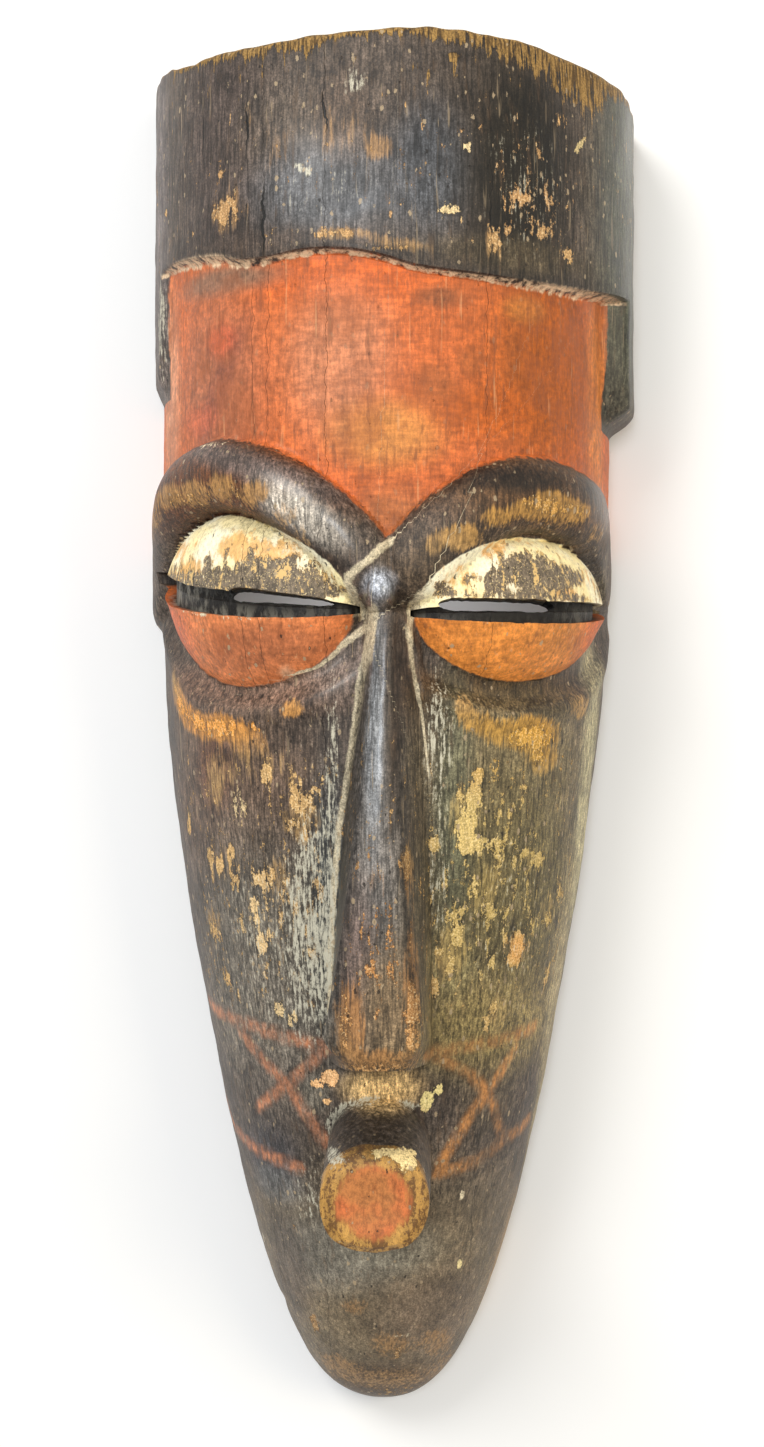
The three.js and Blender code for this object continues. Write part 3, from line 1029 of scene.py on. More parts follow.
    def relief(self, s: Array, y: Array, x: Array, z: Array) -> Array:
        """How far the carving stands out of the plain arch.

        Args:
            s: Places round the face.
            y: Places up the face.
            x: Places across the block, on the plain arch.
            z: Heights of the plain arch.

        Returns:
            The distance out at each place.
        """
        chip_s, chip_y, chip_reach, chip_depth = self.jaw_chip
        chipped = 1.0 - ramp(0.0, 1.0, np.hypot(s - chip_s, y - chip_y) / chip_reach)
        height = self.band.relief(s, y) - chip_depth * chipped
        notch_y, notch_reach, notch_depth = self.jaw_notch
        notch = np.exp(-((y - notch_y + 0.12 * z) / notch_reach) ** 2) * ramp(26.0, 12.0, z)
        height = height - np.where(s < 0, notch_depth * notch, 0.0)
        for eye in self.eyes:
            height = height + eye.socket(s, y)
        for eye in self.eyes:
            height = soft_max(height, eye.lids(s, y), 1.8)
        for brow in self.brows:
            height = soft_max(height, brow.relief(s, y), 1.6)
        middle = np.abs(s) < 60
        for lump in (self.bridge, self.boss):
            top = np.where(middle, lump.top(x, y) - z, -50.0)
            height = soft_max(height, top, 1.6)
        height = soft_max(height, np.where(middle, self.nose.relief(x, y), -50.0), 1.4)
        for line in self.scored_lines:
            height = height + self.scored_height * np.exp(-along_path(line.smoothed(), s, y)[0] ** 2)
        return height

    def shell(self) -> bpy.types.Object:
        """The uncut block with the face carved on it, flat underneath.

        Returns:
            A closed mesh object.
        """
        rows = self.face_rows + self.end_rows
        shape = closed_sheet(sum(self.column_counts), rows)
        across, along, _ = coordinates(shape).T
        row = np.rint((along + 1.0) / 2.0 * rows).astype(int)
        start = self.row_places()[np.minimum(row, self.face_rows)]
        fixed = ramp(self.block.crown_y, self.block.crown_y - 20.0, start)
        y = between(start, self.follow(self.column_places(across, start), start), fixed)
        y = np.clip(y, self.block.chin_y, self.block.crown_y)
        s = self.column_places(across, y)
        flat = self.block.place(s, y, np.zeros(s.shape))
        height = self.block.profile_height(y)
        out = self.relief(s, y, flat[:, 0], flat[:, 2])
        out = out + 0.55 * uneven(flat, 26.0, 3.1) + 0.24 * uneven(flat, 9.0, 7.9)
        out = out + 0.1 * uneven(flat, 4.5, 2.7)
        out = out * ramp(0.0, 25.0, height)
        out = out - self.rim_rounding * (1.0 - ramp(0.0, 3.0, flat[:, 2])) * ramp(0.0, 25.0, height)
        worn = self.band.edge_rounding * (1.3 + 0.7 * uneven(flat, 7.0, 5.5))
        into = np.clip(worn - (self.block.crown_y - y), 0.0, None)
        out = out - (worn - np.sqrt(np.maximum(worn ** 2 - into ** 2, 0.0)))
        points = self.block.place(s, y, out)
        wider = 1.0 + self.chin_widening * np.exp(-((y - self.block.chin_y) / 14.0) ** 2)
        points[:, 0] = between(self.block.midline(y), points[:, 0], wider)
        points[:, 1] -= self.band.drop(points[:, 0], y, self.block.crown_y)
        near_crown = ramp(self.block.crown_y - 9.0, self.block.crown_y, y)
        points[:, 1] += near_crown * (0.85 * uneven(flat, 8.0, 1.2) - 0.35)
        past = np.clip(row - self.face_rows, 0, None) / self.end_rows
        points[:, 2] = np.where(np.abs(across) > 0.9999, 0.0, points[:, 2]) * (1.0 - past)
        return closed_object("shell", shape, points)

    def carve(self) -> bpy.types.Mesh:
        """Joins the mouth to the face, and cuts the hollow and the slits.

        Returns:
            The finished mesh, in the carver's millimetres.
        """
        shell = self.shell()
        cutters = [self.hollow.build(self.block)]
        cutters += [eye.groove(self.block) for eye in self.eyes]
        cutters += [eye.opening() for eye in self.eyes]
        steps = [(self.mouth.build(), "UNION")] + [(cutter, "DIFFERENCE") for cutter in cutters]
        for tool, operation in steps:
            cut = shell.modifiers.new(tool.name, "BOOLEAN")
            cut.object = tool
            cut.operation = operation
            cut.solver = "MANIFOLD"
        bpy.context.view_layer.update()
        seen = shell.evaluated_get(bpy.context.evaluated_depsgraph_get())
        mesh = bpy.data.meshes.new_from_object(seen)
        for used in (shell, *[tool for tool, _ in steps]):
            bpy.data.objects.remove(used, do_unlink=True)
        return mesh

    def build(self) -> bpy.types.Object:
        """The whole mask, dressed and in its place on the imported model.

        Returns:
            The mask's object.
        """
        mesh = self.carve()
        mesh.name = "carved_mask"
        points = vectors(mesh.vertices, "co")
        PaintPlan(self).write(mesh, points)
        mesh.materials.clear()
        for finish in (PaintedWood, GougedWood):
            mesh.materials.append(finish().material())
        self.assign_materials(mesh)
        placed = (points + np.array([*FRAME_SHIFT, 0.0])) * MM
        mesh.vertices.foreach_set("co", placed.ravel())
        mesh.polygons.foreach_set("use_smooth", np.ones(len(mesh.polygons), dtype=bool))
        mesh.update()
        mesh.set_sharp_from_angle(angle=math.radians(self.sharp_angle))
        mask = linked("carved_mask", mesh)
        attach(mask, "root")
        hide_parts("mask")
        return mask

    def assign_materials(self, mesh: bpy.types.Mesh) -> None:
        """Gives the hollow and the rim bare wood, and all the rest paint.

        Args:
            mesh: The finished mesh, still in the carver's millimetres.
        """
        block, hollow = self.block, self.hollow
        x, y, z = vectors(mesh.polygons, "center").T
        lowest = block.chin_y + hollow.chin_wall
        highest = block.crown_y - hollow.crown_wall
        outer_y = between(block.chin_y, block.crown_y, np.clip((y - lowest) / (highest - lowest), 0.0, 1.0))
        width = np.maximum(block.half_width(outer_y) * hollow.width_share, 1.0)
        height = np.maximum(block.profile_height(outer_y) * hollow.height_share, 1.0) + hollow.undercut
        across = np.abs(x - block.midline(outer_y)) / width
        up = np.maximum(z + hollow.undercut, 0.0) / height
        inside = across ** block.arch_power + up ** block.arch_power < 1.07
        inside = inside & (y > lowest - 0.5) & (y < highest + 0.5)
        bare = inside | (z < 0.05)
        mesh.polygons.foreach_set("material_index", bare.astype(np.int32))


@dataclass
class PaintPlan:
    """What paint lies where on the mask, how worn, chipped, dusty and polished it is, and where painted
    shade and painted highlights lie.
    """

    mask: CarvedMask
    ground: Triple = (81, 70, 61)
    ground_tints_and_painted_light: tuple[Tint, ...] = tints(
        (110, 100, 96, -112, 200, 16, 80), (76, 64, 58, -60, 200, 26, 50, 0.8),
        (96, 84, 72, -36, 205, 18, 16, 0.5), (91, 91, 93, -20, 184, 26, 17), (76, 77, 80, 14, 190, 16, 24),
        (106, 88, 74, -14, 208, 9, 16, 0.6), (27, 22, 14, 46, 192, 27, 50),
        (84, 72, 52, 46, 164, 40, 6, 0.7), (69, 70, 55, 108, 190, 30, 90),
        (88, 73, 62, -50, 168, 50, 5, 0.6), (91, 53, 27, -62, 90, 70, 18),
        # (178, 168, 154) on the left brow's crest is a painted highlight
        (104, 96, 92, -40, 92, 40, 5, 0.6, -18), (178, 168, 154, -27, 77, 18, 7, 1, -35),
        # (58, 40, 28) along the left lid's top edge under the brow is painted shade
        (58, 40, 28, -26, 67, 20, 3.4, 0.9, -38), (86, 60, 36, 62, 86, 60, 18),
        (44, 33, 25, 40, 89, 26, 5, 0.9), (60, 50, 42, 76, 87, 14, 5, 0.7),
        (72, 58, 42, 60, 70, 40, 5, 0.6), (84, 68, 50, 12, 58, 12, 14, 0.8), (118, 92, 76, -50, 21, 60, 10),
        (112, 100, 92, -14, 24, 14, 12, 0.7), (77, 58, 34, 44, 18, 50, 11), (106, 86, 71, -60, -18, 45, 34),
        (116, 76, 56, -66, -6, 12, 16, 0.6), (114, 106, 94, -45, -74, 45, 48),
        (78, 80, 78, -18, -50, 8, 50, 0.9), (122, 108, 78, 50, -5, 45, 24), (112, 100, 66, 50, -50, 45, 44),
        (92, 96, 76, 24, -20, 8, 50, 0.6), (132, 115, 73, 40, -94, 45, 20),
        (138, 126, 86, 23, -72, 10, 12, 0.8), (112, 106, 100, -2, -30, 9, 60),
        # (118, 120, 122) down the left of the nose ridge is a painted highlight, and (58, 47, 38) along its
        # right side is painted shade beside it
        (118, 120, 122, -3, 6, 3, 42, 0.9), (58, 47, 38, 3, 12, 3.4, 40, 0.95),
        # (156, 160, 168) on the knob at the nose's root is a painted highlight
        (102, 82, 74, -7, -75, 6, 34, 0.7), (122, 102, 76, 2, -85, 9, 22), (156, 160, 168, -2, 54, 5, 5),
        (120, 105, 82, 0, -190, 90, 50), (97, 87, 77, -48, -116, 14, 12, 0.8),
        (62, 60, 62, -46, -142, 18, 14, 0.9), (110, 110, 108, -42, -153, 16, 8, 0.6),
        (88, 76, 56, 40, -120, 16, 14, 0.5), (216, 180, 122, 0, -115, 14, 7.5),
        (128, 122, 108, -24, -118, 6, 7, 0.6), (122, 120, 112, -20, -176, 30, 16, 0.6),
        (118, 100, 84, 20, -200, 26, 20, 0.6), (100, 77, 50, 0, -229, 34, 10),
        (92, 80, 70, -40, -186, 14, 24, 0.7), (134, 128, 112, 2, -172, 20, 12, 0.6),
        (160, 130, 90, 74, -198, 20, 34), (172, 162, 126, 102, -20, 14, 70),
        (168, 152, 114, 88, -100, 14, 60, 0.8),
    )
    orange: Triple = (209, 108, 52)
    orange_tints: tuple[Tint, ...] = tints(
        (224, 106, 40, -17, 155, 34, 9), (126, 104, 84, -62, 158, 30, 5.5, 0.9),
        (176, 108, 76, -66, 122, 26, 36, 0.9), (202, 132, 94, -16, 128, 20, 28, 0.8),
        (166, 83, 8, 62, 128, 32, 40, 0.9), (212, 126, 58, 96, 122, 12, 46),
        (222, 152, 114, -102, 120, 12, 44), (212, 142, 72, 0, 104, 20, 12, 0.8),
        (190, 92, 20, 34, 112, 20, 10, 0.8), (150, 88, 46, 16, 120, 8, 8, 0.6),
        (150, 88, 42, 28, 128, 5, 5, 0.45), (120, 76, 48, 18, 149, 10, 4, 0.7),
        (128, 72, 58, -62, 124, 6, 26, 0.5, -32), (214, 96, 58, -62, 138, 8, 6, 0.7),
        (208, 100, 66, -74, 112, 12, 6, 0.45), (216, 136, 58, 49, 147, 9, 5, 0.7),
        (176, 108, 62, 2, 78, 12, 11, 0.8), (186, 96, 48, 6, 86, 16, 5, 0.4),
        (140, 88, 60, -14, 108, 2.4, 18, 0.35), (140, 78, 36, 44, 133, 3, 12, 0.35),
        (232, 138, 82, -50, 34, 52, 24), (150, 86, 54, -44, 34, 24, 9, 0.7), (232, 144, 62, 46, 34, 52, 22),
        (176, 116, 60, 60, 37, 16, 7, 0.5), (208, 100, 66, -92, 38, 22, 14, 0.7),
        (214, 104, 56, 88, 40, 16, 12, 0.7), (240, 190, 150, -34, 25, 2.6, 2),
        (196, 110, 56, 0, -145, 30, 16),
    )
    chip: Triple = (204, 164, 108)
    chip_tints: tuple[Tint, ...] = tints(
        (190, 146, 96, 0, 190, 130, 30), (226, 200, 150, 20, 177, 6, 5), (220, 196, 148, 26, 198, 5, 4),
        (206, 184, 132, 72, 205, 8, 5), (196, 146, 84, -62, 86, 70, 16), (206, 154, 78, 54, 80, 60, 18),
        (238, 164, 78, -66, 11, 50, 13), (216, 160, 66, 54, 3, 44, 14),
        (192, 166, 100, 42, -48, 42, 50, 0.9), (214, 186, 118, 29, -26, 9, 12),
        (216, 162, 94, 51, -69, 8, 7), (230, 196, 142, -46, -58, 9, 16, 0.9),
        (224, 194, 142, -35, -90, 8, 8, 0.9), (212, 186, 142, -53, -19, 5, 9),
        (186, 132, 78, -2, -70, 18, 50), (172, 134, 90, 0, -190, 110, 56), (236, 216, 158, 29, -181, 3, 4),
        (238, 184, 128, -19, -114, 9, 9), (236, 216, 146, 17, -118, 8, 8), (240, 214, 152, 3, -133, 12, 6),
    )
    fringe_colour: Triple = (146, 114, 64)
    worn_spots: tuple[Mark, ...] = marks(
        # the crown band
        (-56, 180, 7.7, 5.9, 0.68), (-100, 188, 3, 1.6, 0.7), (-75, 176, 1.7, 1.5, 0.7),
        (-58, 193, 1.8, 2.4, 0.6), (-48, 209, 1.3, 2, 0.6), (22, 228, 3, 1.6, 0.8),
        (26, 198, 1.4, 1.8, 0.85, 45), (72, 205, 5, 1.3, 0.85, 45), (20, 177, 3.6, 1.7, 0.9),
        (4, 179, 2.2, 1.3, 0.6), (1, 175, 1.5, 1.5, 0.6), (35, 167, 2.8, 6, 0.75),
        (45, 183, 4.1, 1.5, 0.85), (67, 167, 2.8, 3.6, 0.95), (53, 174, 4.8, 3.7, 0.55),
        (50, 182, 18, 22, 0.22), (-16, 169, 10, 1.8, 0.5), (61, 213, 5.2, 4.3, 0.3), (2, 164, 12, 1.6, 0.5),
        (58, 184, 3, 3, 0.5), (40, 172, 2, 3, 0.6),
        # the brows
        (-71, 84, 18, 4, 0.5), (-47, 85, 6, 4, 0.5), (52, 81, 15, 4.6, 0.66), (67, 80, 6, 3, 0.6),
        (17, 67, 4, 4, 0.4), (-95, 80, 12, 5, 0.4),
        # the left cheek
        (-92, 17, 13, 4.6, 0.7, -40), (-76, 9, 10, 4, 0.66, -22), (-61, 7, 12, 3.8, 0.7, -6),
        (-31, 13, 3.2, 2.4, 0.6), (-46, 7, 3.6, 1.8, 0.5), (-41, -8, 2.6, 3.8, 0.9),
        (-28, -18, 3.2, 4.2, 0.6), (-31, -26, 2.6, 3.4, 0.4), (-26, -29, 2.2, 3.6, 0.7),
        (-53, -19, 3, 8, 0.44), (-89, -27, 3, 5, 0.7), (-71, -37, 2.7, 5, 0.6), (-65, -41, 3, 4, 0.8),
        (-58, -36, 2.6, 4, 0.85), (-56, -44, 3.8, 5, 0.5), (-43, -44, 4.1, 4.1, 0.75),
        (-54, -59, 1.8, 5.2, 0.5), (-47, -53, 2.1, 3.2, 0.9), (-46, -59, 2, 3.5, 0.7),
        (-44, -66, 3.2, 4.3, 0.95), (-73, -63, 5, 5, 0.5), (-26, -69, 2.9, 3.6, 0.75),
        (-19, -69, 1.8, 3.4, 0.8), (-37, -89, 2.4, 4, 0.8), (-32, -92, 2.4, 4.2, 0.66),
        (-65, -81, 2.2, 2.6, 0.6), (-28, -48, 14, 14, 0.24), (-28, -20, 8, 9, 0.4),
        # the right cheek
        (54, 4, 13, 4.6, 0.75), (58, -3, 5, 3.4, 0.55), (33, -9, 2.6, 2.7, 0.9), (31, -17, 3.6, 4.6, 0.85),
        (28, -26, 4.7, 4.6, 0.95), (30, -32, 5.5, 4, 0.95), (17, -32, 2, 3, 0.85), (39, -33, 2.8, 3.9, 0.6),
        (52, -36, 2.5, 2.1, 0.8), (60, -38, 4.4, 2.8, 0.8), (32, -46, 1.9, 5.1, 0.55),
        (37, -55, 4.5, 3.4, 0.6), (25, -55, 2.1, 4.2, 0.4), (19, -67, 2.3, 4.3, 0.7),
        (25, -64, 2.5, 5.6, 0.5), (17, -80, 1.7, 4, 0.7), (23, -75, 2.1, 5.1, 0.4), (51, -67, 5, 4, 0.95),
        (48, -72, 4.4, 3, 0.9), (39, -72, 1.6, 3.1, 0.8), (76, -50, 2.6, 5.2, 0.7),
        (69, -60, 2.6, 2.6, 0.6), (72, -81, 3, 4.8, 0.6), (37, -94, 2.6, 3.4, 0.7),
        (40, -89, 2.2, 3.6, 0.4), (80, 11, 3.4, 2, 0.5), (40, -45, 26, 34, 0.2),
        # the nose, the mouth and the chin
        (6, -39, 2.2, 7, 0.66), (8, -90, 3, 15, 0.6), (-10, -93, 3.6, 9, 0.5), (-2, -105, 13, 3, 0.62),
        (-4, -72, 1.8, 2.7, 0.7), (-6, -5, 1.2, 2.3, 0.6), (-27, -205, 3.4, 5.6, 0.7, 30),
        (29, -181, 1.7, 2.8, 0.9), (27, -143, 2.9, 4.6, 0.5), (5, -214, 4, 4, 0.5),
        (-34, -167, 2.1, 2.3, 0.5), (-18, -112, 4.4, 4, 1), (-23, -114, 4, 1.4, 0.8),
        (-19, -120, 2.6, 1.8, 0.9), (15, -120, 3, 4.4, 1), (19, -116, 3, 2.6, 0.9), (2, -132.5, 8, 2.2, 1),
        (6, -135.5, 2.6, 3.6, 1), (-34, -230, 10, 5, 0.4), (28, -222, 10, 7, 0.42), (4, -234, 16, 4, 0.5),
    )
    rubbed_spots: tuple[Mark, ...] = marks(
        (-2, 197, 5.6, 5.2, 0.8), (-56, 180, 12, 9, 0.55), (-47, 211, 3.1, 5.9, 0.5),
        (-14, 169, 12, 2.6, 0.8), (4, 165.5, 12, 3, 0.66, -8), (35, 167, 4.1, 6.1, 0.7),
        (-16, 203, 12, 10, 0.4), (-38, 196, 10, 14, 0.3), (-83, 86, 12.7, 5.5, 0.8),
        (-67, 86, 8.4, 5.4, 0.9), (-54, 87, 6.4, 5.8, 0.9), (-42, 84, 6.7, 5.3, 0.9),
        (-31, 77, 5.7, 4.6, 0.6), (-26, 69, 3.8, 5.7, 0.5), (-109, 80, 22, 7, 0.6), (44, 79, 6, 3.6, 0.9),
        (55, 82, 9.4, 5, 1), (67, 80, 7.1, 3.7, 1), (34, 76, 6.4, 4.1, 0.9), (22, 69, 9, 5, 1),
        (14, 66, 3.6, 4.1, 0.7), (82, 74, 8.4, 4.3, 0.5), (58, 79, 18, 6, 0.6), (-92, 17, 15, 6.6, 1, -40),
        (-78, 9, 13, 6, 1, -22), (-61, 7, 15, 5.6, 1, -6), (-31, 13, 5, 3.6, 1), (-50, 2, 9, 7, 0.6),
        (-66, -12, 7, 12, 0.5), (-62, -8, 8.7, 9.4, 0.5), (-28, -23, 7.6, 10.9, 0.75),
        (-38, -43, 4.7, 8.5, 0.5), (-63, -40, 11, 8.7, 0.4), (-28, -48, 10, 13, 0.4),
        (-73, -61, 7.8, 7.6, 0.6), (-22, -69, 6.2, 7.7, 0.5), (-42, -6, 15, 8, 0.35),
        (26, 15, 4.4, 4.3, 0.7, -35), (52, 5, 20, 7, 1), (83, 14, 9.5, 5, 0.8), (32, 9, 10, 5, 0.8, -25),
        (60, -4, 11, 7, 0.8), (28, -24, 9.4, 13, 0.7), (36, -47, 6.7, 12.8, 0.7), (23, -69, 8, 12, 0.8),
        (57, -38, 9.7, 6.9, 0.5), (51, -69, 9, 8, 0.5), (69, -57, 9, 11, 0.5), (43, -91, 7.3, 8.8, 0.5),
        (-9, -90, 5, 16, 0.85), (7, -40, 3, 10, 0.8), (8, -79, 3.4, 28, 0.75), (-2, -102, 14.4, 4.9, 0.8),
        (-1, -44, 4.8, 6.7, 0.4), (3, -211, 9, 6.4, 0.74), (21, -211, 10, 7, 0.7), (76, -200, 16, 29, 0.6),
        (32, -182, 5.4, 14, 0.35), (0, -227, 26, 6, 0.66), (-39, -231, 9, 7, 0.6), (-10, -196, 7, 4.4, 0.6),
        (-19, -221, 12, 6, 0.7), (28, -223, 10, 10, 0.55),
    )
    lid_chips: tuple[Mark, ...] = marks(
        (-58, 56, 24, 5.5, 0.9), (-38, 57, 14, 7, 1), (-24, 53, 9, 5.5, 0.85), (-53, 65, 3, 4, 0.6),
        (-62, 62, 3, 4, 0.6), (-44, 66, 2.5, 4, 0.6), (-30, 63, 3, 4, 0.5), (-70, 65, 4, 3, 0.45),
        (-84, 61, 14, 4, 0.55), (-103, 62, 7, 7, 0.9), (-45, 60, 34, 6, 0.3), (-23, 60, 3, 4, 0.5),
        (-40, 52, 36, 2.8, 0.85), (-92, 58, 16, 3, 0.6), (50, 50.5, 40, 2.6, 0.7), (46, 59, 12, 7, 1),
        (58, 57, 10, 5.5, 0.9), (34, 56, 4, 5, 0.85), (68, 58, 7, 4, 0.6), (18, 52, 4, 4, 0.7),
        (27, 55, 4, 4, 0.5), (106, 56, 7, 9, 1), (90, 54, 10, 3.5, 0.6), (52, 61, 32, 10, 0.3),
    )
    stained_spots: tuple[Mark, ...] = marks(
        (-50, 67, 11, 5.5), (-37, 64, 11, 6, 0.9), (-71, 60, 12, 5), (-84, 68, 12, 4, 0.7),
        (-88, 58, 12, 5, 0.8), (52, 57, 7, 5), (60, 52, 8, 3.6), (36, 66, 6, 4, 0.6), (80, 58, 14, 6, 0.4),
        (24, 56, 8, 6, 0.5), (46, 70, 14, 4, 0.3),
    )
    pale_spots: tuple[Mark, ...] = marks(
        (-62, 102, 12, 2, 0.45), (29, -155, 1.4, 2.4, 0.7), (-62, -178, 1.2, 2.6, 0.7),
        (-26, 64.5, 2, 2, 0.5), (6, -207, 8, 0.7, 0.5),
    )
    dust_spots: tuple[Mark, ...] = marks(
        (-25, -56, 10, 46, 0.6), (-17, -20, 2.6, 56, 0.55), (-20, -72, 4, 30, 0.42), (18, 4, 6, 24, 0.55),
        (19, -40, 4, 30, 0.4), (-7, -119.6, 9, 1.8, 0.7, 14), (-15.5, -124, 5, 2.2, 0.75, 45),
        (-18, -130, 2, 6, 0.55), (-10, 219, 4, 5, 0.6), (-27, 191, 5, 1.4, 0.95, -38),
        (-20, 184, 18, 12, 0.2), (-108, 150, 5, 20, 0.6), (9, -121, 6, 1.6, 0.7, -22),
        (-12, -134, 4, 2.4, 0.8), (-26, -150, 10, 12, 0.3), (2, -176, 20, 8, 0.2), (-24, -160, 10, 8, 0.3),
        (46, -60, 20, 40, 0.22), (-40, -80, 26, 22, 0.25), (-46, -54, 20, 20, 0.25), (-24, 6, 8, 12, 0.16),
        (48, 186, 20, 30, 0.22),
    )
    polished_spots: tuple[Mark, ...] = marks(
        (-20, 185, 34, 22, 0.3), (-27, 78, 18, 8, 1, -35), (-2, 53, 7, 8, 1), (-2.5, 5, 4, 45, 0.9),
        (108, 190, 30, 60, 0.4), (-62, 95, 40, 8, 0.2), (90, 84, 26, 10, 0.5), (-14, 26, 12, 10, 0.5),
    )
    dark_and_shade_spots: tuple[Mark, ...] = marks(
        # (-36, 70) and (-60, 76) under the left brow, (92, 60) at the right eye's outer corner and (13,
        # -146) on the mouth's right side are painted shade; the other spots are dark marks on the wood
        (-4, -126.5, 18, 7, 1), (-36, 70, 28, 3, 0.3, -25), (92, 60, 12, 8, 0.4), (13, -146, 4, 15, 0.35),
        (8, -72, 2, 3.4, 1), (76, -62, 1.5, 4, 1), (48, -63, 1.5, 4, 1), (-62, -2, 9, 4, 0.5),
        (-12, -40, 1.6, 60, 0.4), (60, 14, 24, 3, 0.5), (38, 90, 24, 4, 0.5), (76, 88, 12, 5, 0.5),
        (-60, 76, 30, 3, 0.3, -10), (28, 163, 40, 3, 0.3), (-60, 172, 40, 4, 0.25),
    )
    fibrous_spots: tuple[Mark, ...] = marks(
        (-88, 55, 22, 7), (-60, 45, 60, 2.6, 0.6), (52, 43.4, 60, 1.6, 0.4),
    )
    fringe: Line = Line((
        (-130, 2), (-103, 2), (-75, 3), (-52, 4), (-47, 6), (-30, 5), (-25, 10), (-20, 4), (4, 3),
        (26, 6), (42, 8), (57, 12), (70, 15), (77, 18), (84, 13), (92, 7), (115, 4), (130, 3),
    ))
    band_line: Line = Line((
        (-130, 1.0), (-104, 1.0), (-84, 1.8), (-62, 2.4), (-46, 1.4), (-20, 0.8), (10, 0.8),
        (34, 0.9), (48, 1.6), (72, 1.7), (96, 0.9), (130, 0.8),
    ))
    lattice_lines: tuple[Line, ...] = (
        Line(((-92, -92), (-60, -95), (-44, -97), (-18, -101))),
        Line(((-58, -99), (-44, -109), (-33, -117), (-20, -135))),
        Line(((-19, -101), (-33, -114), (-50, -125))),
        Line(((-74, -138), (-55, -141), (-30, -145))),
        Line(((-100, -118), (-80, -138))),
        Line(((14, -103), (35, -101), (66, -98))),
        Line(((19, -105), (32, -112), (42, -124), (50, -136), (72, -133))),
        Line(((52, -104), (40, -117), (30, -128), (20, -143))),
        Line(((19, -146), (34, -143), (50, -137))),
    )
    lattice_half_width: float = 1.9
    lattice_softness: float = 1.4
    sharpest_bend: float = 0.6
    bend_smoothings: int = 5
    disc_above: float = 104.0
    pale_lines: tuple[tuple[Line, float, float], ...] = (
        (Line(((-8.6, 45), (-11.6, 55), (-6, 61), (1, 68))), 1.8, 1.3),
        (Line(((-7, 40), (-14, 35), (-22, 28), (-31, 25))), 1.7, 0.5),
        (Line(((10.6, 50), (8.4, 44.6), (7.4, 38), (9.6, 24), (13, 8), (15, -8))), 2.0, 0.4),
        (Line(((-4.6, 45.2), (-5.4, 33), (-7.8, 22), (-10.8, -3), (-15.2, -32), (-17.3, -62),
               (-18.2, -92))), 2.1, 0.9),
    )

    def write(self, mesh: bpy.types.Mesh, points: Array) -> None:
        """Stores the plan on the mesh's vertices, for the materials to read.

        Args:
            mesh: The mesh to store it on.
            points: Its vertices in the carver's millimetres.
        """
        _, y, z = points.T
        s = self.mask.block.round_place(points)
        curvature = self.curvature(mesh, points)
        values = {
            "forehead": self.forehead(s, y),
            "upper_lid": self.lid(s, y, 1.0),
            "lower_lid": self.lid(s, y, -1.0),
            "disc": self.disc(points),
            "lattice": self.lattice(s, y),
            "pale": self.pale(s, y),
            "worn": self.worn(s, y, curvature, points),
            "rubbed": self.rubbed(s, y, curvature, points),
            "stained": layered(self.stained_spots, s, y),
            "fibrous": layered(self.fibrous_spots, s, y),
            "lid_chip": layered(self.lid_chips, s, y),
            "dust": layered(self.dust_spots, s, y),
            "polish": layered(self.polished_spots, s, y),
            # dark: painted shade in creases, on the nose's flanks, under the brows, beside the mouth and
            # along the band's edge, with dark dirt, paint and holes
            "dark": self.dark(s, y, curvature, points),
            # slit: how deep inside a slit a place lies, for painting its walls near black as shade
            "slit": ramp(0.8, 1.8, self.inside(points, s)),
            "calm": ramp(-140.0, -165.0, y),
            "crown": ramp(205.0, 214.0, y),
            "sawn": self.sawn(points, s),
            "band_line": (y + 0.3 - self.mask.band.edge.height_at(s)) / self.band_line.height_at(s),
        }
        for i, (line, first, last) in enumerate(self.pale_lines):
            path = line.smoothed(5)
            width = between(first, last, 1.0 - (1.0 - along_path(path, s, y)[1]) ** 2)
            values[f"pale_line_{i}"] = beside_path(path, s, y) / width
        for name, value in values.items():
            layer = mesh.attributes.new(name, "FLOAT", "POINT")
            layer.data.foreach_set("value", np.asarray(value, dtype=np.float32))
        plan = mesh.attributes.new("plan", "FLOAT_VECTOR", "POINT")
        plan.data.foreach_set("vector", np.stack([s, y, z], axis=-1).astype(np.float32).ravel())
        for name, base, tints in (
                ("ground", self.ground, self.ground_tints_and_painted_light),
                ("orange", self.orange, self.orange_tints),
                ("chip", self.chip, self.chip_tints)):
            colours = tinted(base, tints, s, y)
            if name == "chip":
                near_crown = ramp(212.0, 222.0, y)[:, None]
                colours = between(colours, linear(self.fringe_colour)[None, :], near_crown)
            colours = np.hstack([colours, np.ones((len(s), 1))])
            layer = mesh.attributes.new(name, "FLOAT_COLOR", "POINT")
            layer.data.foreach_set("color", colours.astype(np.float32).ravel())

    def outward(self, points: Array, s: Array) -> Array:
        """How far points stand out of the plain arch, in mm.

        Args:
            points: Points (x, y, z), one row each.
            s: Their places round the face.

        Returns:
            One distance for each, below 0 inside the arch.
        """
        x, y, z = points.T
        flat = self.mask.block.place(s, y, np.zeros(len(s)))
        return np.hypot(flat[:, 0] - x, flat[:, 2] - z) * np.sign(z - flat[:, 2])

    def below_crown(self, points: Array) -> Array:
        """How far points lie below the sawn crown, in mm."""
        x, y, _ = points.T
        return self.mask.block.crown_y - self.mask.band.drop(x, y, self.mask.block.crown_y) - y

    def inside(self, points: Array, s: Array) -> Array:
        """How deep places lie under the carved front, in mm, for the slits' walls.

        Args:
            points: Places (x, y, z) in mm, one row each.
            s: Places round the face.

        Returns:
            The depths.
        """
        y = points[:, 1]
        surface = np.full(len(s), -100.0)
        for eye in self.mask.eyes:
            near = (eye.radius(s, y) < 1.06) & (np.abs(y - eye.lid_line(s)) < 10.0)
            near = near & (s * eye.side.value > 2.0)
            lids = np.maximum(eye.lids(s, y), -eye.socket_depth)
            surface = np.where(near, lids, surface)
        return surface - self.outward(points, s)

    def sawn(self, points: Array, s: Array) -> Array:
        """How surely places lie on the sawn crown end, inside its edge."""
        deep = self.mask.band.relief(s, points[:, 1]) - self.outward(points, s)
        return ramp(2.0, 4.0, deep) * ramp(-2.5, -1.2, -self.below_crown(points))

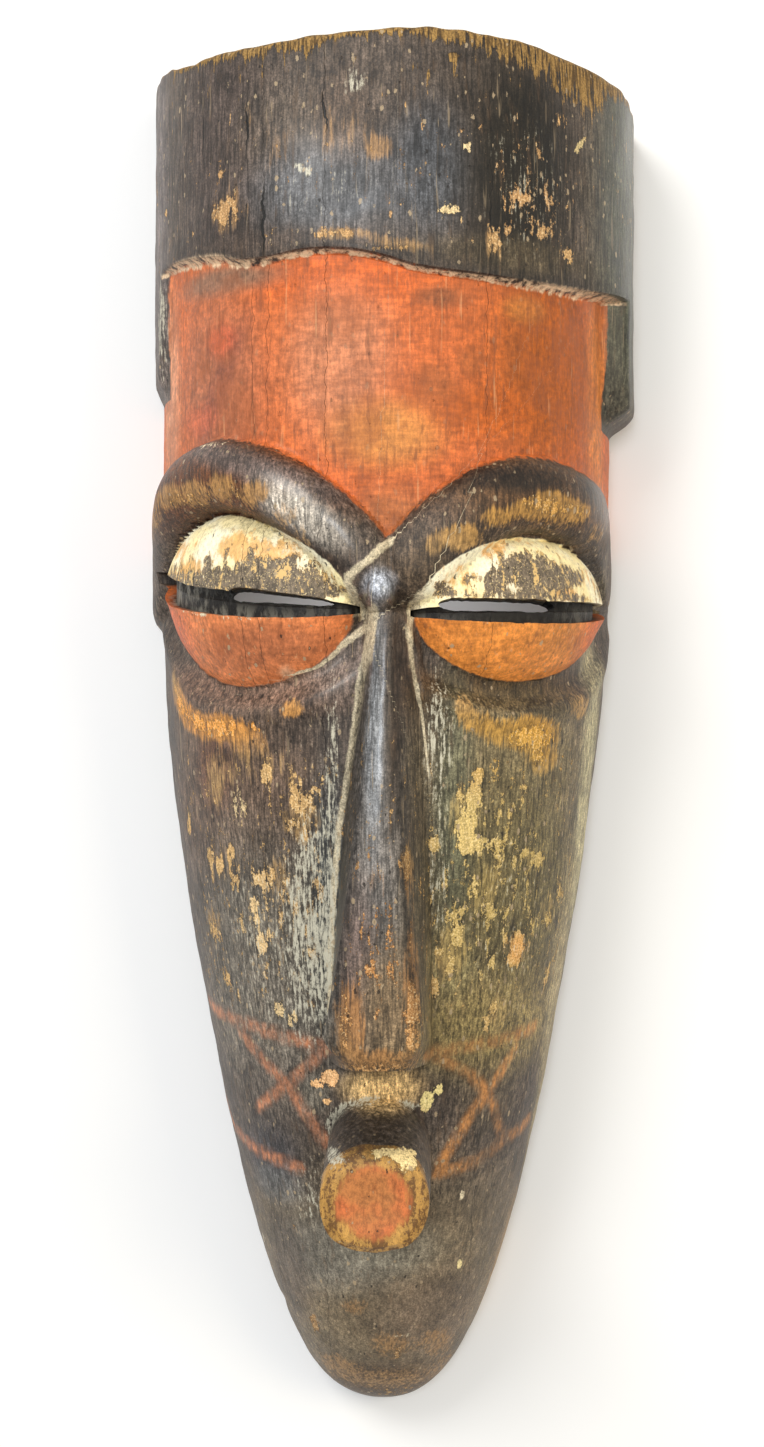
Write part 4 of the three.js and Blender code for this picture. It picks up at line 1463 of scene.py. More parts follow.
    def curvature(self, mesh: bpy.types.Mesh, points: Array) -> Array:
        """How sharply the surface bends, hollows below 0 and ridges above.

        Args:
            mesh: The finished mesh.
            points: Places (x, y, z) in mm, one row each.

        Returns:
            One value in 1/mm for each vertex.
        """
        ends = np.empty(len(mesh.edges) * 2, dtype=np.int32)
        mesh.edges.foreach_get("vertices", ends)
        one, other = ends.reshape(-1, 2).T
        normals = vectors(mesh.vertex_normals, "vector")
        step = points[other] - points[one]
        length = np.maximum(np.einsum("ij,ij->i", step, step), 0.04)
        count = np.zeros(len(points))
        bend = np.zeros(len(points))
        for near, sign in ((one, -1.0), (other, 1.0)):
            np.add.at(bend, near, sign * np.einsum("ij,ij->i", step, normals[near]) / length)
            np.add.at(count, near, 1.0)
        bend = np.clip(bend / np.maximum(count, 1.0), -self.sharpest_bend, self.sharpest_bend)
        for _ in range(self.bend_smoothings):
            total = bend.copy()
            np.add.at(total, one, bend[other])
            np.add.at(total, other, bend[one])
            bend = total / (count + 1.0)
        return bend

    def forehead(self, s: Array, y: Array) -> Array:
        """How far inside the orange forehead places are.

        Args:
            s: Places round the face.
            y: Places up the face.

        Returns:
            The distances in mm, below 0 outside it.
        """
        lower = np.full(s.shape, 70.0)
        away = np.full(s.shape, 1e3)
        for brow in self.mask.brows:
            curve = brow.path.smoothed()
            order = np.argsort(curve[:, 0])
            covered = (s > curve[:, 0].min()) & (s < curve[:, 0].max())
            line = np.interp(s, curve[order, 0], curve[order, 1])
            lower = np.where(covered, line, lower)
            away = np.minimum(away, brow.nearest(s, y)[0] - brow.half_width)
        edge = self.mask.band.edge.height_at(s) - 0.3
        lobe = np.where(s < 0, self.mask.band.lobe_left[1], self.mask.band.lobe_right[1])
        beside = np.where(y > lobe - 2.0, self.mask.band.lobe_front - 1.0 - np.abs(s), 1e3)
        parts = [edge - y, y - lower, away + 0.4, 150.0 - np.abs(s), beside, y - 60.0]
        return np.minimum.reduce(parts)

    def lid(self, s: Array, y: Array, side: float) -> Array:
        """How far inside the cream lids places are.

        Args:
            s: Places round the face.
            y: Places up the face.
            side: 1 for the upper lids, -1 for the lower ones.

        Returns:
            The distances in mm, below 0 outside it.
        """
        deep = np.full(s.shape, -50.0)
        for eye in self.mask.eyes:
            own = np.where(s * eye.side.value > 3.0, 1e3, -50.0)
            rim = (0.985 - eye.radius(s, y)) * 30.0
            deep = np.maximum(deep, np.minimum.reduce([rim, side * (y - eye.lid_line(s)), own]))
        return deep

    def disc(self, points: Array) -> Array:
        """How far inside the orange disc on the mouth's end places are.

        Args:
            points: Places (x, y, z) in mm, one row each.

        Returns:
            The distances in mm, below 0 outside it.
        """
        x, y, z = points.T
        centre_x, centre_y, radius = self.mask.mouth.disc
        return np.where(z > self.disc_above, radius - np.hypot(x - centre_x, y - centre_y), -20.0)

    def lattice(self, s: Array, y: Array) -> Array:
        """How strongly the thin orange lattice covers places.

        Args:
            s: Places round the face.
            y: Places up the face.

        Returns:
            Amounts from 0 to 1.
        """
        near = np.full(s.shape, 1e3)
        for line in self.lattice_lines:
            near = np.minimum(near, along_path(line.smoothed(4), s, y)[0])
        half, soft = self.lattice_half_width, self.lattice_softness
        return 1.0 - ramp(half - soft, half + soft, near)

    def pale(self, s: Array, y: Array) -> Array:
        """How strongly pale bare wood shows in spots and along the lower lids' top edges.

        Args:
            s: Places round the face.
            y: Places up the face.

        Returns:
            Amounts from 0 to 1.
        """
        amount = layered(self.pale_spots, s, y)
        for eye in self.mask.eyes:
            share = eye.share(s)
            near = np.abs(y + 0.5 - eye.lid_line(s) + eye.gape(share))
            along = ramp(0.1, 0.2, share) * ramp(0.8, 0.6, share)
            strength = 0.4 if eye.side is Side.LEFT else 0.26
            amount = np.maximum(amount, strength * along * (1.0 - ramp(0.3, 1.1, near)))
        return amount

    def worn(self, s: Array, y: Array, curvature: Array, points: Array) -> Array:
        """How much of the paint has worn off, down to the ochre wood.

        Args:
            s: Places round the face.
            y: Places up the face.
            curvature: How sharply the surface bends there.
            points: Places (x, y, z) in mm, one row each.

        Returns:
            Amounts from 0 to 1.
        """
        amount = layered(self.worn_spots, s, y)
        depth = np.maximum(self.fringe.height_at(s), 1.5)
        fringe = 0.86 * (1.0 - ramp(0.1, 1.6, self.below_crown(points) / depth))
        cheek = 0.36 * ramp(20.0, -10.0, y) * ramp(-110.0, -80.0, y) * ramp(110.0, 80.0, np.abs(s))
        band = 0.26 * ramp(160.0, 170.0, y)
        edge = ramp(0.05, 0.2, curvature) * 0.35
        rim = 0.3 * (1.0 - ramp(2.0, 14.0, points[:, 2]))
        base = np.maximum.reduce([cheek, band, edge, rim])
        return 1.0 - (1.0 - amount) * (1.0 - fringe) * (1.0 - base)

    def rubbed(self, s: Array, y: Array, curvature: Array, points: Array) -> Array:
        """How far the paint has been rubbed thin, so that the wood shows through.

        Args:
            s: Places round the face.
            y: Places up the face.
            curvature: How sharply the surface bends there.
            points: Places (x, y, z) in mm, one row each.

        Returns:
            Amounts from 0 to 1.
        """
        amount = layered(self.rubbed_spots, s, y)
        depth = np.maximum(self.fringe.height_at(s), 2.0)
        fringe = 1.0 - ramp(0.6, 2.2, self.below_crown(points) / depth)
        edge = 0.35 * ramp(0.05, 0.2, curvature)
        return 1.0 - (1.0 - amount) * (1.0 - 0.4 * fringe) * (1.0 - edge)

    def dark(self, s: Array, y: Array, curvature: Array, points: Array) -> Array:
        """How dark places are made: painted shade in hollows and creases, on the nose's flanks, along the
        band's edge, under the brows and beside the mouth, and dark dirt, old paint, holes and a crack.

        Args:
            s: Places round the face.
            y: Places up the face.
            curvature: How sharply the surface bends there.
            points: Places (x, y, z) in mm, one row each.

        Returns:
            Amounts from 0 to 1.
        """
        # painted shade in the creases and hollows, from how the surface bends
        crease_shade = ramp(-0.04, -0.26, curvature)
        spots = layered(self.dark_and_shade_spots, s, y)
        x = points[:, 0]
        # painted shade on the nose's flanks, darker on the left; the crack beside the ridge is a real split
        left_foot, left, right, right_foot = self.mask.nose.edges(y)
        on_nose = ramp(46.0, 40.0, y) * ramp(-106.0, -102.0, y)
        left_flank_shade = ramp(left_foot - 0.2, left_foot + 1.0, x) * ramp(left + 1.2, left - 0.6, x)
        left_flank_shade = left_flank_shade * ramp(34.0, 22.0, y)
        right_flank_shade = ramp(right - 1.0, right + 0.6, x) * ramp(right_foot + 1.0, right_foot - 0.8, x)
        right_flank_shade = right_flank_shade * ramp(40.0, 28.0, y)
        flank_shade = left_flank_shade * between(0.6, 1.0, ramp(-70.0, -30.0, y)) + 0.42 * right_flank_shade
        crack = 0.85 * np.exp(-((x - right - 0.3 - 0.5 * np.sin(0.4 * y)) / 0.8) ** 2)
        crack = crack * ramp(-84.0, -74.0, y) * ramp(10.0, -16.0, y)
        nose = on_nose * np.minimum(flank_shade + crack, 0.95)
        # painted shadow on the band just above its lower edge
        above = y - self.mask.band.edge.height_at(s)
        band_edge_shadow = 0.4 * ramp(0.3, 1.4, above) * ramp(6.0, 1.6, above) * ramp(112.0, 100.0, np.abs(s))
        clear = (1.0 - spots) * (1.0 - nose) * (1.0 - band_edge_shadow)
        return 1.0 - (1.0 - 0.25 * crease_shade) * clear


class Signal:
    """What a node puts out. A sum written with it adds the nodes that do the sum."""

    def __init__(self, wiring: "Wiring", socket: Socket) -> None:
        """Keeps the socket, and what adds nodes beside it."""
        self.wiring = wiring
        self.socket = socket

    def __add__(self, other: object) -> "Signal":
        """This and the other, added up."""
        return self.wiring.math("ADD", self, other)

    def __sub__(self, other: object) -> "Signal":
        """This less the other."""
        return self.wiring.math("SUBTRACT", self, other)

    def __rsub__(self, other: object) -> "Signal":
        """The other less this."""
        return self.wiring.math("SUBTRACT", other, self)

    def __mul__(self, other: object) -> "Signal":
        """This times the other."""
        return self.wiring.math("MULTIPLY", self, other)

    def rise(self, low: float, high: float) -> "Signal":
        """Goes smoothly from 0 where this is low to 1 where it is high."""
        node = self.wiring.add("ShaderNodeMapRange", interpolation_type="SMOOTHSTEP")
        return self.wiring.fed(node, {"Value": self, "From Min": low, "From Max": high})

    def tone(self, low: float, high: float, first: float, last: float) -> "Signal":
        """Goes smoothly from a first value where this is low to a last one where it is high."""
        return self.wiring.lerp(self.rise(low, high), first, last)


class Wiring:
    """Adds nodes to a shader tree and joins them."""

    def __init__(self, tree: bpy.types.NodeTree) -> None:
        """Starts on a tree."""
        self.tree = tree

    def add(self, kind: str, **settings: object) -> bpy.types.Node:
        """Adds a node.

        Args:
            kind: Its type.
            **settings: Those of its settings that change.

        Returns:
            The node.
        """
        node = self.tree.nodes.new(kind)
        for name, value in settings.items():
            setattr(node, name, value)
        return node

    def feed(self, socket: Socket, value: object) -> None:
        """Joins a socket to a signal, or sets its value.

        Args:
            socket: An input of a node.
            value: The signal, or a number, vector or colour in linear light.
        """
        if isinstance(value, Signal):
            self.tree.links.new(value.socket, socket)
        else:
            socket.default_value = value

    def fed(self, node: bpy.types.Node, values: dict, output: object = 0) -> Signal:
        """Feeds some of a node's inputs.

        Args:
            node: The node.
            values: What goes in, by the input's name or number.
            output: Name or number of the output that is wanted.

        Returns:
            That output.
        """
        for name, value in values.items():
            self.feed(node.inputs[name], value)
        return Signal(self, node.outputs[output])

    def math(self, operation: str, *values: object, clamp: bool = False) -> Signal:
        """A sum done on numbers or signals."""
        node = self.add("ShaderNodeMath", operation=operation, use_clamp=clamp)
        return self.fed(node, dict(enumerate(values)))

    def mix(self, amount: object, one: object, other: object) -> Signal:
        """One colour turned into another by an amount."""
        node = self.add("ShaderNodeMix", data_type="RGBA")
        return self.fed(node, {0: amount, 6: painted(one), 7: painted(other)}, 2)

    def lerp(self, amount: object, one: object, other: object) -> Signal:
        """One number turned into another by an amount."""
        node = self.add("ShaderNodeMix", data_type="FLOAT")
        return self.fed(node, {0: amount, 2: one, 3: other})

    def scaled(self, colour: object, *factors: Signal) -> Signal:
        """Makes a colour lighter or darker.

        Args:
            colour: A signal or a paint card colour.
            *factors: What it is multiplied by.

        Returns:
            The new colour.
        """
        node = self.add("ShaderNodeVectorMath", operation="SCALE")
        colour = painted(colour)[:3] if isinstance(colour, tuple) else colour
        return self.fed(node, {0: colour, "Scale": reduce(mul, factors)})

    def noise(self, vector: Signal, scale: float, detail: float = 3.0, roughness: float = 0.5) -> Signal:
        """Cloudy noise from 0 to 1."""
        values = {"Vector": vector, "Scale": scale, "Detail": detail, "Roughness": roughness}
        return self.fed(self.add("ShaderNodeTexNoise"), values, "Fac")

    def stretched(self, vector: Signal, scale: Triple, turn: float = 0.0) -> Signal:
        """Coordinates drawn out along some of their axes, and turned by some degrees."""
        values = {"Vector": vector, "Scale": scale, "Rotation": (0.0, 0.0, math.radians(turn))}
        return self.fed(self.add("ShaderNodeMapping"), values)

    def parts(self, node: bpy.types.Node, value: Signal) -> list[Signal]:
        """All the outputs of a node with one input."""
        self.feed(node.inputs[0], value)
        return [Signal(self, output) for output in node.outputs]

    def stored(self, name: str, output: str = "Fac") -> Signal:
        """What the mesh stores under a name."""
        return Signal(self, self.add("ShaderNodeAttribute", attribute_name=name).outputs[output])

    def place(self) -> Signal:
        """Places on the object, in metres."""
        return Signal(self, self.add("ShaderNodeTexCoord").outputs["Object"])

    def grouped(self, effect: "Effect", **values: object) -> list[Signal]:
        """Places a shared effect.

        Args:
            effect: The effect.
            **values: What goes in, by the input's name.

        Returns:
            Its outputs.
        """
        node = self.add("ShaderNodeGroup", node_tree=effect.group())
        self.fed(node, values)
        return [Signal(self, output) for output in node.outputs]


@dataclass(frozen=True)
class Effect:
    """An effect that materials share, kept as a shader node group that puts out numbers."""

    name: str
    outputs: tuple[str, ...]
    vectors: tuple[str, ...] = ()
    numbers: tuple[str, ...] = ()

    def group(self) -> bpy.types.NodeTree:
        """Builds the node group, or finds it where it is built already.

        Returns:
            The node group.
        """
        if self.name in bpy.data.node_groups:
            return bpy.data.node_groups[self.name]
        tree = bpy.data.node_groups.new(self.name, "ShaderNodeTree")
        for label in self.vectors + self.numbers:
            kind = "NodeSocketVector" if label in self.vectors else "NodeSocketFloat"
            tree.interface.new_socket(label, in_out="INPUT", socket_type=kind)
        for label in self.outputs:
            tree.interface.new_socket(label, in_out="OUTPUT", socket_type="NodeSocketFloat")
        wiring = Wiring(tree)
        start = wiring.add("NodeGroupInput")
        end = wiring.add("NodeGroupOutput")
        given = [Signal(wiring, start.outputs[label]) for label in self.vectors + self.numbers]
        for label, value in zip(self.outputs, self.wire(wiring, *given)):
            wiring.feed(end.inputs[label], value)
        return tree

    def wire(self, wiring: Wiring, *given: Signal) -> tuple[Signal, ...]:
        """Adds the effect's own nodes, and gives its outputs."""
        raise NotImplementedError


@dataclass(frozen=True)
class WoodGrain(Effect):
    """The grain, mottling and chipping that all the wood shares, along the face's y."""

    name: str = "wood_grain"
    outputs: tuple[str, ...] = (
        "Fibre", "Mottle", "Chip", "Streak", "Grit", "Fine", "Scratch", "Speck", "Pit")
    vectors: tuple[str, ...] = ("Vector",)
    fibre_scale: float = 1100.0
    mottle_scale: float = 55.0
    chip_scale: float = 300.0
    streak_scale: float = 390.0
    grit_scale: float = 640.0
    fine_scale: float = 1600.0
    scratch_scale: float = 700.0
    scratch_turn: float = 38.0
    speck_scale: float = 430.0
    speck_rarity: float = 0.64
    pit_rarity: float = 0.74

    def wire(self, wiring: Wiring, place: Signal) -> tuple[Signal, ...]:
        """Adds the nodes.

        Args:
            wiring: What adds them.
            place: Places on the object.

        Returns:
            The outputs, each from 0 to 1.
        """
        fibre = wiring.noise(wiring.stretched(place, (1.0, 0.07, 1.0)), self.fibre_scale, 4.0, 0.65)
        mottle = wiring.noise(place, self.mottle_scale, 4.0, 0.55)
        chip = wiring.noise(wiring.stretched(place, (1.0, 0.42, 1.0)), self.chip_scale, 6.0, 0.68)
        streak = wiring.noise(wiring.stretched(place, (1.0, 0.16, 1.0)), self.streak_scale, 5.0, 0.66)
        grit = wiring.noise(wiring.stretched(place, (1.0, 0.7, 1.0)), self.grit_scale, 4.0, 0.8)
        fine = wiring.noise(place, self.fine_scale, 3.0, 0.6)
        turned = wiring.stretched(place, (1.0, 0.05, 1.0), self.scratch_turn)
        scratch = wiring.noise(turned, self.scratch_scale, 2.0, 0.5)
        cells = wiring.add("ShaderNodeTexVoronoi", feature="F1")
        place_and_scale = {"Vector": wiring.stretched(place, (1.0, 0.6, 1.0)), "Scale": self.speck_scale}
        away = wiring.fed(cells, place_and_scale, "Distance") + (grit - 0.5) * 0.9
        chance = wiring.parts(wiring.add("ShaderNodeSeparateColor"), Signal(wiring, cells.outputs["Color"]))
        spots = [((value - rarity) * 0.85 - away).rise(0.0, 0.06)
                 for value, rarity in zip(chance, (self.speck_rarity, self.pit_rarity))]
        return fibre, mottle, chip, streak, grit, fine, scratch, *spots


@dataclass(frozen=True)
class Flaking(Effect):
    """Ragged flakes and chips, where an amount from 0 to 1 says how much has come off."""

    name: str = "flaking"
    outputs: tuple[str, ...] = ("Flaked", "Rim")
    numbers: tuple[str, ...] = ("Amount", "Noise", "Spread")

    def wire(self, wiring: Wiring, amount: Signal, ragged: Signal, spread: Signal) -> tuple[Signal, ...]:
        """Adds the nodes.

        Args:
            wiring: What adds them.
            amount: How much has come off.
            ragged: The noise that the flakes follow.
            spread: How far the noise reaches.

        Returns:
            Where paint has come off, and the rim round it.
        """
        value = (ragged - 0.5) * spread + (amount * 1.7 - 1.05)
        flaked = value.rise(-0.03, 0.05)
        return flaked, wiring.math("SUBTRACT", value.rise(-0.2, -0.05), flaked, clamp=True)


@dataclass(frozen=True)
class Crack(Effect):
    """A thin split along the grain, at a place s and between two heights y."""

    name: str = "crack"
    outputs: tuple[str, ...] = ("Split",)
    vectors: tuple[str, ...] = ("Plan",)
    numbers: tuple[str, ...] = ("Place", "Low", "High", "Width")

    def wire(self, wiring: Wiring, plan: Signal, place: Signal, low: Signal, high: Signal,
             width: Signal) -> tuple[Signal, ...]:
        """Adds the nodes.

        Args:
            wiring: What adds them.
            plan: Places on the face as s and y.
            place: The crack's s.
            low: Height of its lower end.
            high: Height of its upper end.
            width: Half its width in mm.

        Returns:
            How surely a place is in the crack.
        """
        s, y, _ = wiring.parts(wiring.add("ShaderNodeSeparateXYZ"), plan)
        along = wiring.fed(wiring.add("ShaderNodeCombineXYZ"), {"X": place, "Y": y})
        line = place + (wiring.noise(along, 0.12, 3.0, 0.6) - 0.5) * 5.0
        away = wiring.math("ABSOLUTE", s - line)
        to_end = wiring.math("MINIMUM", y - low, high - y)
        narrowed = width * wiring.math("MULTIPLY", to_end, 0.12, clamp=True)
        return ((narrowed - away).rise(-0.12, 0.12),)


class WoodWiring(Wiring):
    """A wooden finish with the grain in it, whose coats are laid one over the other."""

    name: str
    colour: object
    bump_strength: float
    bump_depth: float

    def __init__(self) -> None:
        """Starts the material."""
        self.made = bpy.data.materials.new(self.name)
        self.made.use_nodes = True
        super().__init__(self.made.node_tree)
        grain = self.grouped(WoodGrain(), Vector=self.place())
        self.fibre, self.mottle, self.chip, self.streak, self.grit = grain[:5]
        self.fine, self.scratch, self.speck, self.pit = grain[5:]

    @cached_property
    def ragged(self) -> Signal:
        """The noise that chips follow."""
        return self.chip * 0.5 + self.streak * 0.5

    @cached_property
    def rough_edge(self) -> Signal:
        """Raggedness of the paint's edges, in mm."""
        return (self.ragged - 0.5) * 9.0

    def coat(self, amount: Signal, colour: object) -> None:
        """Lays a coat over the colour so far, as thickly as the amount says."""
        self.colour = self.mix(amount, self.colour, colour)

    def give(self, name: str, value: object) -> None:
        """Gives an input of the shader its signal or number."""
        self.feed(self.made.node_tree.nodes["Principled BSDF"].inputs[name], value)

    def finish(self, rough: Signal, height: Signal) -> bpy.types.Material:
        """Ends the material with its colour so far.

        Args:
            rough: How rough the surface is.
            height: How high it seems to stand, from 0 to about 1.

        Returns:
            The material.
        """
        relief = {"Height": height, "Strength": self.bump_strength, "Distance": self.bump_depth}
        self.give("Base Color", self.colour)
        self.give("Roughness", rough)
        self.give("Normal", self.fed(self.add("ShaderNodeBump"), relief))
        return self.made


class PaintedWood(WoodWiring):
    """The carved front: dark ground, orange and cream paint, worn down to ochre wood in places."""

    name: str = "painted_wood"
    ground_brown: Triple = (116, 90, 66)
    orange_cloud: Triple = (160, 84, 40)
    orange_stroke: Triple = (118, 68, 42)
    orange_scuff: Triple = (236, 176, 124)
    band_edge: Triple = (232, 200, 162)
    cream: Triple = (250, 232, 176)
    cream_white: Triple = (252, 244, 212)
    cream_stain: Triple = (232, 176, 100)
    cream_fibre: Triple = (104, 78, 54)
    lid_ground: Triple = (118, 104, 86)
    lid_fleck: Triple = (222, 198, 146)
    lid_left_on: Triple = (226, 188, 122)
    lid_rim: Triple = (206, 158, 92)
    lattice_left: Triple = (216, 140, 96)
    lattice_right: Triple = (208, 142, 78)
    ring: Triple = (204, 154, 78)
    ring_spot: Triple = (104, 72, 36)
    disc: Triple = (206, 112, 60)
    disc_faded: Triple = (186, 118, 64)
    disc_streak: Triple = (150, 86, 44)
    chip_rim: Triple = (42, 33, 25)
    chip_glint: Triple = (240, 218, 170)
    chip_strand: Triple = (70, 52, 32)
    bare: Triple = (222, 206, 172)
    dust: Triple = (204, 198, 176)
    pit_dark: Triple = (34, 27, 21)
    fleck: Triple = (176, 154, 122)
    # near black, for dirt and for painted shade
    dirt_and_shade: Triple = (22, 17, 13)
    slit_fibre: Triple = (150, 146, 132)
    # near black inside the slits: painted shade
    slit_shade: tuple[float, ...] = (0.006, 0.005, 0.004, 1.0)  # linear light
    crack_dark: tuple[float, ...] = (0.004, 0.003, 0.002, 1.0)  # linear light
    cracks: tuple[tuple[float, ...], ...] = (  # place s, low y, high y, half width
        (-47, 199, 215, 0.55), (-20, 202, 217, 0.5), (-41, 163, 188, 0.5), (-68, 200, 216, 0.25),
        (34, 172, 180, 0.3),
    )
    end_grain: Triple = (126, 100, 66)
    pith: Triple = (0.012, 0.0, -0.02)
    rings: float = 1500.0
    bump_strength: float = 0.95
    bump_depth: float = 0.0006

    def material(self) -> bpy.types.Material:
        """Lays all the coats, wears them, and ends the material.

        Returns:
            The material.
        """
        self.lay_ground()
        orange_on = self.lay_orange()
        cream_on = self.lay_cream()
        self.lay_lattice()
        disc_on = self.lay_disc()
        flaked = self.wear()
        self.settle_dust()
        self.saw_crown()
        # Painted shade in creases, on the nose's flanks, under the brows, beside the mouth and along the
        # band's edge, and dark dirt, paint and holes, all near black.
        self.coat(self.stored("dark") * self.grit.tone(0.36, 0.6, 0.98, 0.58), self.dirt_and_shade)
        # The slits' walls are painted near black as shade, with grey fibres in places.
        fibres = self.stored("fibrous") * self.chip.rise(0.42, 0.6)
        self.coat(self.stored("slit"), self.mix(fibres, self.slit_shade, self.slit_fibre))
        split = self.split_amount()
        self.coat(split, self.crack_dark)
        polish = self.stored("polish")
        self.give("Coat Weight", polish)
        self.give("Coat Roughness", 0.24)
        self.give("Specular IOR Level", 0.36)
        rough = self.lerp(orange_on, self.lerp(polish, 0.52, 0.36), 0.55)
        rough = self.lerp(self.math("MAXIMUM", flaked, cream_on), rough, 0.78)
        rough = self.math("ADD", rough, (self.grit - 0.5) * 0.5, clamp=True)
        height = self.fibre * 0.32 + self.grit * self.lerp(self.stored("calm"), 0.44, 0.12)
        height = height + self.mottle * 0.5 - self.pit * 0.35 - flaked * 0.3 - split * 1.6
        return self.finish(rough, height + cream_on * 0.45 + disc_on * 0.2)

    def lay_ground(self) -> None:
        """The dark ground, gritty, and streaked along the grain; its stored colour carries some painted
        highlights and painted shade.
        """
        calm = self.stored("calm")
        grit = self.lerp(calm * 0.75, self.grit.tone(0.36, 0.64, 0.62, 1.34), 0.98)
        fibre = self.lerp(calm * 0.5, self.fibre.tone(0.38, 0.62, 0.54, 1.46), 1.0)
        self.colour = self.scaled(
            self.stored("ground", "Color"), grit, fibre, self.fine.tone(0.36, 0.64, 0.72, 1.28),
            self.chip.tone(0.38, 0.62, 0.78, 1.24), self.mottle.tone(0.34, 0.66, 0.8, 1.2))
        self.coat(self.streak.rise(0.54, 0.7) * 0.3, self.ground_brown)
        self.coat(self.scratch.rise(0.66, 0.74) * 0.4, self.fleck)

    def lay_orange(self) -> Signal:
        """The orange forehead and lower lids, with the pale broken line along the band.

        Returns:
            How much of the orange covers the ground.
        """
        inside = self.stored("forehead") + self.rough_edge * 0.8
        lower = self.stored("lower_lid") + self.rough_edge * 0.3
        covers = self.math("MAXIMUM", inside.rise(-0.5, 0.5), lower.rise(0.2, 0.9))
        brushed = self.noise(self.stretched(self.place(), (0.14, 1.0, 1.0), 8.0), 620.0, 3.0, 0.6)
        orange = self.scaled(
            self.stored("orange", "Color"), brushed.tone(0.34, 0.68, 0.84, 1.14),
            self.fibre.tone(0.38, 0.68, 1.1, 0.84), self.grit.tone(0.32, 0.64, 0.76, 1.14),
            self.chip.tone(0.38, 0.62, 1.14, 0.82))
        orange = self.mix(self.mottle.rise(0.46, 0.62) * 0.4, orange, self.orange_cloud)
        orange = self.mix(self.streak.rise(0.56, 0.66) * 0.45, orange, self.orange_stroke)
        self.coat(covers, self.mix(self.scratch.rise(0.66, 0.74) * 0.35, orange, self.orange_scuff))
        line = self.math("ABSOLUTE", self.stored("band_line") + self.rough_edge * 0.4)
        broken = (self.ragged * 0.5 + self.chip * 0.5).rise(0.4, 0.56)
        shown = (1.0 - line.rise(0.4, 1.1)) * broken * self.stored("forehead").rise(-6.0, -3.0)
        self.coat(shown, self.scaled(self.band_edge, self.grit.tone(0.34, 0.56, 0.62, 1.12)))
        return covers

    def lay_cream(self) -> Signal:
        """The upper lids: cream paint, chipped off in the middle.

        Returns:
            How much cream covers the wood.
        """
        lid = (self.stored("upper_lid") + self.rough_edge * 0.25).rise(0.0, 0.6)
        cream = self.mix(self.mottle.rise(0.38, 0.56), self.cream_white, self.cream)
        stained = self.stored("stained") + (self.ragged - 0.5) * 4.0
        cream = self.mix(stained.rise(0.25, 0.85) * 0.85, cream, self.cream_stain)
        cream = self.scaled(cream, self.grit.tone(0.3, 0.6, 0.74, 1.12))
        cream = self.mix(self.fibre.rise(0.66, 0.72), cream, self.cream_fibre)
        bare = self.scaled(self.lid_ground, self.grit.tone(0.34, 0.66, 0.5, 1.4),
                           self.fibre.tone(0.36, 0.64, 0.75, 1.2))
        bare = self.mix(self.fine.rise(0.59, 0.66), bare, self.lid_fleck)
        left_on = self.grit * 0.35 + self.chip * 0.65
        bare = self.mix(left_on.rise(0.55, 0.58), bare, self.lid_left_on)
        torn = self.ragged * 0.75 + self.grit * 0.25
        flaked, rim = self.grouped(Flaking(), Amount=self.stored("lid_chip"), Noise=torn, Spread=6.6)
        cream = self.mix(rim * 0.7, cream, self.lid_rim)
        self.coat(lid, self.mix(flaked, cream, bare))
        return lid * (1.0 - flaked)

    def lay_lattice(self) -> None:
        """The thin faded orange lattice over the cheeks' foot."""
        amount = self.stored("lattice") * self.ragged.tone(0.42, 0.58, 0.86, 0.2)
        s = self.parts(self.add("ShaderNodeSeparateXYZ"), self.stored("plan", "Vector"))[0]
        paint = self.mix(s.rise(-10.0, 10.0), self.lattice_left, self.lattice_right)
        paint = self.scaled(paint, self.grit.tone(0.34, 0.64, 0.6, 1.25))
        self.coat(amount * self.mottle.tone(0.38, 0.58, 0.5, 1.0), paint)

    def lay_disc(self) -> Signal:
        """The orange disc on the end of the mouth, in its ochre ring.

        Returns:
            How much of the disc covers the wood.
        """
        inside = self.stored("disc") + self.rough_edge * 0.9
        spots = (self.ragged * 0.5 + self.grit * 0.5).rise(0.47, 0.54)
        ochre = self.mix(spots, self.ring, self.ring_spot)
        self.coat(inside.rise(-8.5, -6.0), self.scaled(ochre, self.grit.tone(0.34, 0.64, 0.6, 1.25)))
        orange = self.mix(self.mottle.rise(0.4, 0.6), self.disc, self.disc_faded)
        orange = self.mix(self.streak.rise(0.5, 0.66), orange, self.disc_streak)
        covers = inside.rise(-1.4, 1.4)
        self.coat(covers, self.scaled(orange, self.grit.tone(0.34, 0.64, 0.68, 1.2)))
        return covers

